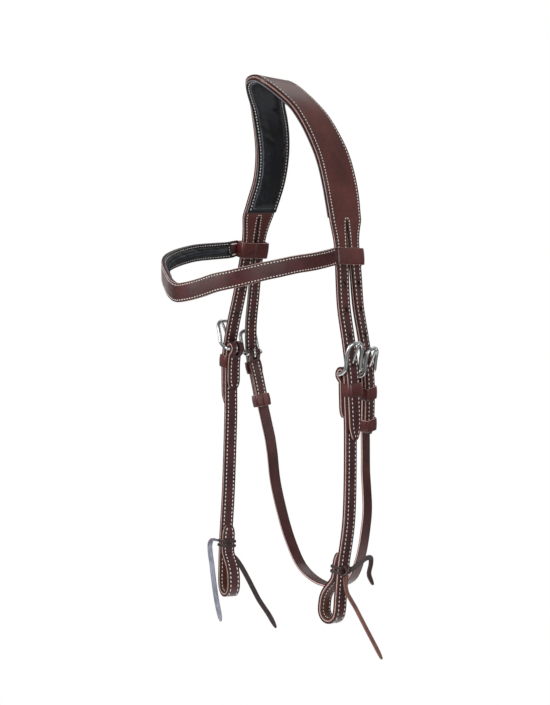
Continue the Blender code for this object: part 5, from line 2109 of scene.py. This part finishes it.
@dataclass
class Cheek:
    """One cheek: its doubled strap with the bit loop, its buckle, its keeper and its tie."""

    hang: Hang
    return_length: float = 0.0430
    point: float = 0.0100
    loop_length: float = 0.0460
    loop_depth: float = 0.0205
    slot_below: float = 0.0056
    slot_half: float = 0.0020
    fold_turn: float = math.radians(215)

    def path(self) -> Array:
        """The strap's middle: tip, return, fold at the bar, leaf, bit loop, return and end.

        Returns:
            Rows of run and lift.
        """
        bar, line, fold = self.hang.cheek_bar, self.hang.front, STOCK.cheek_fold
        lift = STOCK.leaf_lift
        bar_lift, back_lift = lift - fold, lift - STOCK.doubled - STOCK.gap
        path = [(bar + self.return_length * share, back_lift) for share in CHEEK_RETURN_SHARES]
        for turn in np.linspace(self.fold_turn, 0.0, 10):
            path.append((bar - fold * math.sin(turn), bar_lift + fold * math.cos(turn)))
        bottom = line.run_at(self.hang.drops.bit_loop) - STOCK.doubled / 2
        radius = self.loop_depth / 2
        stop = bottom - radius
        path += [(run, lift) for run in np.linspace(bar + self.return_length / 4, stop, 15)]
        for turn in np.linspace(0.0, math.pi, 10)[1:]:
            path.append((stop + radius * math.sin(turn), lift - radius + radius * math.cos(turn)))
        for up, deep in BIT_LOOP_SHARES:
            path.append((bottom - self.loop_length * up, lift - self.loop_depth * deep))
        end = line.run_at(self.hang.drops.return_end)
        shut = bottom - self.loop_length
        path += [(shut + (end - shut) * share, back_lift) for share in LOOP_RETURN_SHARES]
        return fair(path, 0.0025)

    def build(self) -> None:
        """Makes the cheek's pieces."""
        hang, line = self.hang, self.hang.front
        lay = StrapLay.on_line(line, self.path())
        length = lay.length
        half = tapered(length, STOCK.strap / 2, self.point, True, True)
        bar = hang.cheek_bar
        back_lift = STOCK.leaf_lift - STOCK.doubled - STOCK.gap
        slot = [
            lay.run_near(line.at(bar + self.slot_below, lift)) for lift in (back_lift, STOCK.leaf_lift)
        ]
        bottom = line.run_at(hang.drops.bit_loop) - STOCK.doubled / 2
        loop_start = lay.run_near(line.at(bottom - self.loop_length, STOCK.leaf_lift))
        loop_end = lay.run_near(line.at(bottom - self.loop_length, back_lift))
        ends = [self.point * share for share in POINT_SHARES]
        marks = [*slot, *ends, *(length - end for end in ends)]
        stations = stations_with(list(lay.runs), marks, 0.0007)
        lines = mirrored([self.slot_half, 0.0036, 0.0048, STOCK.strap / 2])

        def bare(run: float) -> float:
            """How bare the bit loop's inside is."""
            return 1.0 if loop_start - 0.004 < run < loop_end + 0.002 else 0.0

        for ply, bottom_lift, top in (
            (Ply.INNER, -STOCK.doubled / 2, -STOCK.gap / 2), (Ply.OUTER, STOCK.gap / 2, STOCK.doubled / 2),
        ):
            blank = Blank(stations, lines, half)
            blank.open(slot[0], slot[1], self.slot_half)
            blank.thicken(bottom_lift, top)
            blank.round_edges()
            name = hang.name(f"cheek_{ply.value}")
            piece = blank.lay(f"{name}_ply", lay, CHEEK_CHESTNUT, bare if ply is Ply.INNER else None)
            attach(piece, hang.name("cheek"), Slot.LEATHER, name)
        thread = Stitching(lay)
        leaf, returned = (slot[1] + 0.006, length - 0.002), (0.002, slot[0] - 0.003)
        for sewn, face in ((leaf, 1), (leaf, -1), (returned, 1)):
            thread.rows(*sewn, beside_edge(half), face * STOCK.doubled / 2)
        attach(thread.finish(hang.name("cheek_stitches")), hang.name("cheek"))
        self.fit()
        Tie(hang, bottom - self.loop_length).build()

    def fit(self) -> None:
        """Hangs the buckle, the tongue and the keeper on the strap."""
        hang, fittings = self.hang, fittings_on(self.hang.side)
        lift = fittings.bar_lift("cheek")
        fittings.cheek.build(hang.name("cheek_buckle"), hang.front, hang.cheek_bar, lift)
        tongue = Tongue(fittings.cheek.rise, fittings.cheek.reach)
        tongue.build(hang.name("cheek_tongue"), hang.front, hang.cheek_bar, lift)
        back = STOCK.leaf_lift - STOCK.doubled / 2
        ring = Ring(STOCK.strap / 2 + fittings.play, back, STOCK.doubled + fittings.play, tucked=True)
        frame = hang.front.frame(hang.cheek_bar + fittings.cheek_keeper)
        piece = ring.cut(hang.name("cheek_keeper_band"), frame, GLAZED)
        attach(piece, hang.name("cheek"), Slot.LOOP, hang.name("cheek_keeper"))


TAIL_REACH = 0.0400
TAIL_FALL = 0.0890

# From the knot: out in TAIL_REACH, back in TAIL_REACH, down in TAIL_FALL
TAIL_SHARES = {
    "left_tie_long_tail": (
        (0.03, -0.11, 0.22), (0.03, 0.13, 0.39), (0.02, 0.48, 0.65), (0.0, 0.8, 0.88), (-0.02, 0.98, 1.01),
    ),
    "left_tie_short_tail": (
        (0.04, 0.45, -0.13), (0.0, 0.62, -0.11), (-0.04, 0.63, -0.02), (-0.05, 0.6, 0.06),
        (-0.03, 0.71, 0.18),
    ),
    "right_tie_long_tail": (
        (-0.03, 0.31, 0.17), (-0.11, 0.5, 0.28), (-0.2, 0.73, 0.48), (-0.3, 0.97, 0.71),
        (-0.42, 1.2, 0.89), (-0.52, 1.36, 1.05),
    ),
    "right_tie_short_tail": (
        (0.11, -0.22, -0.02), (0.13, -0.26, 0.08), (0.11, -0.22, 0.25), (0.09, -0.17, 0.46),
        (0.06, -0.1, 0.7), (0.02, 0.0, 0.94),
    ),
}

# Which way each tail leaves the wrap: across it, out of it and down it
TAIL_ROOTS = {
    "left_tie_long_tail": (0, 0, 1), "left_tie_short_tail": (1, 0, 0),
    "right_tie_long_tail": (0, 0, 1), "right_tie_short_tail": (0, 1, 0),
}

# Which way a tail's face turns as it hangs, where it doesn't keep the way that it left: across and out
TAIL_FACES = {"right_tie_short_tail": (-0.6, -0.8)}


@dataclass
class Tie:
    """The thong that closes a bit loop: two turns round the strap, a knot over them and two tails."""

    hang: Hang
    shut: float
    play: float = 0.0005
    turns: int = 2
    knot_height: float = 0.0088
    knot_lift: float = 0.0042
    set_back: float = 0.0012
    knot_share: float = 0.89
    leave: float = 0.0040
    point: float = 0.0130
    strand: float = 0.0030
    tail_width: float = 0.0050
    slants: tuple[float, float] = (math.radians(24), math.radians(-30))

    def build(self) -> None:
        """Makes the tie's pieces."""
        hang, line = self.hang, self.hang.front
        run = self.shut - self.set_back - self.knot_height / 2
        back = STOCK.leaf_lift - 1.5 * STOCK.doubled - STOCK.gap - self.play
        half = STOCK.strap / 2 + self.play
        width = self.knot_height / self.turns
        body = hang.name("cheek")
        for index in range(self.turns):
            place = run + (index - (self.turns - 1) / 2) * width
            ring = Ring(half, back, 0.0, wall=STOCK.thong_ply * 0.7, height=self.strand, dome=0.0004)
            name = hang.name(f"tie_turn_{index + 1}")
            attach(ring.cut(name, line.frame(place), THONG), body, Slot.THONG, hang.name("tie_knot"))
        for index, slant in enumerate(self.slants):
            piece = self.crossing(hang.name(f"tie_crossing_{index + 1}"), line.frame(run), slant, index)
            attach(piece, body, Slot.THONG, hang.name("tie_knot"))
        knot = line.at(run, 2 * STOCK.thong_ply + self.knot_lift)
        roots = {
            (0, 0, 1): (run + self.knot_height / 2 + STOCK.gap, STOCK.thong_ply, 0.0),
            (1, 0, 0): (run, STOCK.leaf_lift, half + STOCK.thong_ply + STOCK.gap),
            (0, 1, 0): (run, STOCK.thong_ply + self.knot_lift * self.knot_share + STOCK.gap, 0.0),
        }
        for kind in ("long", "short"):
            key = hang.name(f"tie_{kind}_tail")
            piece = self.tail(key, line.at(*roots[TAIL_ROOTS[key]]), line.frame(run), knot)
            attach(piece, body, Slot.THONG, key)

    def crossing(self, name: str, frame: Frame, slant: float, layer: int) -> Piece:
        """One strip of the knot, laid over the turns and over the strip before it.

        Args:
            name: the piece's name.
            frame: the wrap's middle, with the directions across, out and down.
            slant: how far the strip is turned from the strap's own direction.
            layer: how many strips lie under it.

        Returns:
            The piece.
        """
        point, across, out, down = frame
        along = down * math.cos(slant) + across * math.sin(slant)
        aside = across * math.cos(slant) - down * math.sin(slant)
        thick = STOCK.thong_ply
        reach = self.knot_height / 2 + thick * (0.35 + 0.3 * layer)
        rows = []
        for share in np.linspace(-1.0, 1.0, 13):
            rise = thick * (1.5 + layer) * (1 - share**4) + thick * 0.45
            rows.append(np.concatenate((point + along * reach * share + out * rise, aside, out)))
        table = np.array(rows)
        slopes = unit(np.gradient(table[:, :3], axis=0))
        faces = np.cross(slopes, aside)
        table[:, 6:] = faces * np.sign(np.sum(faces * out, axis=1))[:, None]
        lay = StrapLay(table[:, :3], table[:, 3:6], table[:, 6:])
        half = self.strand / 2
        blank = Blank(spread(0.0, lay.length, 0.0009), spread(-half, half, 0.0009))
        blank.thicken(-thick / 2, thick / 2, 0.0003)
        blank.round_edges(STOCK.edge * 0.8)
        return blank.lay(name, lay, THONG)

    def tail(
        self, name: str, root: Array, frame: Frame, knot: Array
    ) -> Piece:
        """One flat tail, from its root at the wrap to its pointed end.

        Args:
            name: the CAD node that it stands for.
            root: where it leaves the wrap.
            frame: the wrap's middle, with the directions across, out and down.
            knot: the point that its table is measured from.

        Returns:
            The piece.
        """
        _, across, out, down = frame
        way = TAIL_ROOTS[name]
        leaving = across * way[0] + out * way[1] + down * way[2]
        scale = np.array((self.hang.side.value * TAIL_REACH, TAIL_REACH, -TAIL_FALL))
        hanging = np.array(TAIL_SHARES[name]) * scale + knot
        rows = np.concatenate(([root, root + leaving * self.leave], hanging))
        path = fair(curve_through(rows, 2), 0.0015)
        along = unit(np.gradient(path, axis=0))
        along[0] = leaving
        face = down if way == (0, 1, 0) else out
        faces = []
        for tangent in along:
            face = unit(face - tangent * float(face @ tangent))
            faces.append(face)
        outs = np.array(faces)
        if name in TAIL_FACES:
            aim = across * TAIL_FACES[name][0] + out * TAIL_FACES[name][1]
            share = np.clip(lengths_along(path) / (2 * self.point), 0.0, 1.0)[:, None]
            outs = outs * (1 - share) + aim * share
            outs = unit(outs - along * np.sum(outs * along, axis=1)[:, None])
        lay = StrapLay(path, np.cross(along, outs), outs)
        half = tapered(lay.length, self.tail_width / 2, self.point, False, True, 0.2)
        ends = [lay.length - self.point * share for share in (0.03, 0.1, 0.25, 0.5)]
        stations = stations_with(spread(0.0, lay.length, 0.0018), ends, 0.0005)
        blank = Blank(stations, spread(-self.tail_width / 2, self.tail_width / 2, 0.0009), half)
        blank.thicken(-STOCK.thong_ply / 2, STOCK.thong_ply / 2)
        blank.round_edges(STOCK.edge * 0.7)
        return blank.lay(f"{name}_thong", lay, self.tail_leather(name))

    def tail_leather(self, name: str) -> ThongLeather:
        """The leather of one tail: one is painted blue-grey as the sheen on its waxed face, and one shows its
        paler underside.
        """
        return {"right_tie_short_tail": SHEEN_PAINTED_THONG, "left_tie_long_tail": RED_THONG}.get(name, THONG)


@dataclass
class Throatlatch:
    """The throatlatch: one strap under the throat, with a buckle, two keepers and a return at each end."""

    hangs: dict[Side, Hang]
    return_length: float = 0.0580
    point: float = 0.0100
    slot_below: float = 0.0056
    slot_half: float = 0.0020
    fold_turn: float = math.radians(220)

    def end_path(self, hang: Hang) -> Array:
        """One end: tip, return, fold at the bar and the top of the main leaf.

        Args:
            hang: the side's lines.

        Returns:
            Rows of run and lift.
        """
        bar, fold, lift = hang.throat_bar, STOCK.throat_fold, STOCK.throat_lift
        bar_lift, back_lift = lift - fold, lift - STOCK.ply - STOCK.gap
        path = [(bar + self.return_length * share, back_lift) for share in THROAT_RETURN_SHARES]
        for turn in np.linspace(self.fold_turn, 0.0, 10):
            path.append((bar - fold * math.sin(turn), bar_lift + fold * math.cos(turn)))
        path += [(run, lift) for run in np.linspace(bar + self.return_length / 5, hang.rear.runs[-1], 7)]
        return fair(path[:-1], 0.0025)

    def under(self) -> Array:
        """The strap's middle under the throat, with its directions, from left to right.

        Returns:
            Rows of a point, the direction across and the direction out.
        """
        rows = np.array((REAR_LINE_SHARES[-1],) + THROAT_LINE_SHARES)
        shares = curve_through(np.concatenate((rows, rows[-2::-1] * np.array((1, -1, 1, -1)))), 2)
        scale = np.array((HANG_SPREAD, HANG_BACK, -HANG_DROP))
        points = shares[:, (1, 2, 0)] * scale
        tangents = unit(np.gradient(points, axis=0))
        toes = np.radians(shares[:, 3])
        across = np.column_stack((-np.sin(toes), np.cos(toes), np.zeros_like(toes)))
        across = unit(across - tangents * np.sum(across * tangents, axis=1)[:, None])
        out = -np.cross(across, tangents)
        return np.column_stack((points + out * STOCK.throat_lift, across, out))

    def lay(self) -> StrapLay:
        """The whole strap's lay, from the left tip to the right one.

        Returns:
            The lay.
        """
        ends = {}
        for side, hang in self.hangs.items():
            lay = StrapLay.on_line(hang.rear, self.end_path(hang))
            ends[side] = np.column_stack((lay.points, lay.across, lay.out))
        rows = np.concatenate((ends[Side.LEFT], self.under(), ends[Side.RIGHT][::-1]))
        return StrapLay.faired(rows, 0.0040)

    def build(self) -> None:
        """Makes the throatlatch's pieces."""
        lay = self.lay()
        length = lay.length
        half = tapered(length, STOCK.throat_strap / 2, self.point, True, True)
        slots = []
        back_lift = STOCK.throat_lift - STOCK.ply - STOCK.gap
        for hang in self.hangs.values():
            run = hang.throat_bar + self.slot_below
            slots.append(sorted(
                lay.run_near(hang.rear.at(run, lift)) for lift in (back_lift, STOCK.throat_lift)
            ))
        ends = [self.point * share for share in POINT_SHARES]
        marks = [*slots[0], *slots[1], *ends, *(length - end for end in ends)]
        stations = stations_with(list(lay.runs), marks, 0.0007)
        side = [self.slot_half, 0.0034, 0.0046, STOCK.throat_strap / 2]
        blank = Blank(stations, mirrored(side), half)
        for low, high in slots:
            blank.open(low, high, self.slot_half)
        blank.thicken(-STOCK.ply / 2, STOCK.ply / 2)
        blank.round_edges()
        piece = blank.lay("throatlatch_leather", lay, PLAIN_CHESTNUT)
        attach(piece, "throatlatch", Slot.LEATHER, "throatlatch_strap")
        thread = Stitching(lay)
        (first, _), (_, last) = sorted(slots)
        for sewn in ((0.002, first - 0.003), (last + 0.003, length - 0.002)):
            thread.rows(*sewn, beside_edge(half), STOCK.ply / 2)
        attach(thread.finish("throatlatch_stitches"), "throatlatch")
        for hang in self.hangs.values():
            self.fit(hang)

    def fit(self, hang: Hang) -> None:
        """Hangs one end's buckle, tongue and keepers.

        Args:
            hang: the side's lines.
        """
        fittings = fittings_on(hang.side)
        lift = fittings.bar_lift("throat")
        fittings.throat.build(hang.name("throat_buckle"), hang.rear, hang.throat_bar, lift)
        tongue = Tongue(fittings.throat.rise, fittings.throat.reach)
        tongue.build(hang.name("throat_tongue"), hang.rear, hang.throat_bar, lift)
        half, high = STOCK.throat_strap / 2 + fittings.play, STOCK.doubled + fittings.play
        seam = STOCK.throat_lift - STOCK.ply / 2
        running = self.running_ring(half, seam, high)
        bands = (
            ("upper", fittings.throat_keeper, "throatlatch", Ring(half, seam, high, tucked=True)),
            ("lower", fittings.running_keeper, hang.name("running_keeper"), running),
        )
        for kind, drop, body, ring in bands:
            name = hang.name(f"throat_keeper_{kind}")
            piece = ring.cut(f"{name}_band", hang.rear.frame(hang.throat_bar + drop), GLAZED)
            attach(piece, body, Slot.LOOP, name)

    def running_ring(self, half: float, seam: float, high: float) -> Ring:
        """The keeper that slides on the strap, thinned inside to pass over the thread.

        Args:
            half: the upper keeper's half width.
            seam: the lift between the main leaf and the returned one.
            high: the upper keeper's lift over the billet.

        Returns:
            The keeper's band.
        """
        room = STOCK.thread_room
        back = seam - STOCK.gap - STOCK.ply - room * 1.5
        return Ring(half + room, back, high + room, wall=STOCK.wall - room)


# Light, floor and camera


@dataclass
class Studio:
    """A white sweep under soft light, seen from the photo's camera."""

    floor_drop: float = 0.75
    floor_size: float = 1.04
    azimuth: float = 55.0
    elevation: float = 5.5
    distance: float = 2.30
    target: tuple[float, float, float] = (0.0, 0.004, -0.2565)
    focal_pixels: float = 2346.0
    long_side: float = 705.0
    sensor: float = 36.0
    ambient: float = 0.40
    mirrored: float = 0.60

    def build(self) -> None:
        """Sets the stage."""
        bpy.context.scene.view_settings.view_transform = "Standard"
        self.lay_floor()
        self.light_world()
        for name, place, size, power in (
            ("Key light", (-0.3, -2.9, 0.70), 1.9, 58.0),
            ("Left light", (-2.8, 0.2, 0.3), 2.2, 7.0),
            ("Fill light", (3.2, -0.6, 0.7), 2.2, 34.0),
            ("Back light", (-0.8, 1.7, 2.3), 1.6, 19.0),
        ):
            self.hang_light(name, Vector(place), size, power)
        self.place_camera()

    def lay_floor(self) -> None:
        """Lays the white floor below the hanging bridle."""
        mesh = bmesh.new()
        bmesh.ops.create_circle(mesh, cap_ends=True, segments=96, radius=self.floor_size / 2)
        bmesh.ops.inset_region(mesh, faces=mesh.faces[:], thickness=self.floor_size / 4)
        bmesh.ops.translate(mesh, verts=mesh.verts[:], vec=(0.0, 0.0, -self.floor_drop))
        floor = make_piece("Floor", mesh, Paper())

    def light_world(self) -> None:
        """Makes the surroundings white to the camera and in the metal, and a soft light elsewhere."""
        world = bpy.data.worlds.new("White surroundings")
        world.use_nodes = True
        bpy.context.scene.world = world
        work = Wiring(world.node_tree)
        ground = world.node_tree.nodes["Background"]
        ground.inputs["Color"].default_value = (1.0, 1.0, 1.0, 1.0)
        ray = work.add("ShaderNodeLightPath").outputs
        way = work.add("ShaderNodeTexCoord").outputs["Generated"]
        room = work.fade(work.noise(way, 1.6, 0.0), 0.40, 0.60, self.mirrored * 0.30, self.mirrored)
        pale = work.blend(ray["Is Glossy Ray"], (self.ambient,) * 3 + (1.0,), (0.0, 0.0, 0.0, 1.0))
        around = work.plus(pale, work.times(ray["Is Glossy Ray"], room))
        work.feed(ground.inputs["Strength"], work.math("MAXIMUM", ray["Is Camera Ray"], around))

    def hang_light(self, name: str, place: Vector, size: float, power: float) -> None:
        """Hangs a square soft light that faces the bridle.

        Args:
            name: the light's name.
            place: where it hangs.
            size: the length of its sides.
            power: its watts.
        """
        data = bpy.data.lights.new(name, "AREA")
        data.energy = power
        data.size = size
        light = bpy.data.objects.new(name, data)
        light.location = place
        light.rotation_euler = (place - Vector(self.target)).to_track_quat("Z", "Y").to_euler()
        bpy.context.scene.collection.objects.link(light)

    def place_camera(self) -> None:
        """Puts the camera where the photo's was."""
        turn, rise = math.radians(self.azimuth), math.radians(self.elevation)
        back = Vector((math.sin(turn) * math.cos(rise), -math.cos(turn) * math.cos(rise), math.sin(rise)))
        data = bpy.data.cameras.new("Camera")
        data.sensor_width = self.sensor
        data.lens = self.focal_pixels / self.long_side * self.sensor
        camera = bpy.data.objects.new("Camera", data)
        camera.location = Vector(self.target) + back * self.distance
        camera.rotation_euler = back.to_track_quat("Z", "Y").to_euler()
        bpy.context.scene.collection.objects.link(camera)
        bpy.context.scene.camera = camera


def main() -> None:
    """Builds the bridle's looks and the studio."""
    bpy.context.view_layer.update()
    hangs = {
        Side.LEFT: Hang(Side.LEFT, Drops()),
        Side.RIGHT: Hang(Side.RIGHT, Drops(cheek_bar=0.2588, throat_bar=0.2660, bit_loop=0.5150)),
    }
    Crown(hangs).build()
    for hang in hangs.values():
        Billets(hang).build()
    Browband(hangs).build()
    for hang in hangs.values():
        Cheek(hang).build()
    Throatlatch(hangs).build()
    Studio().build()


if __name__ == "__main__":
    main()
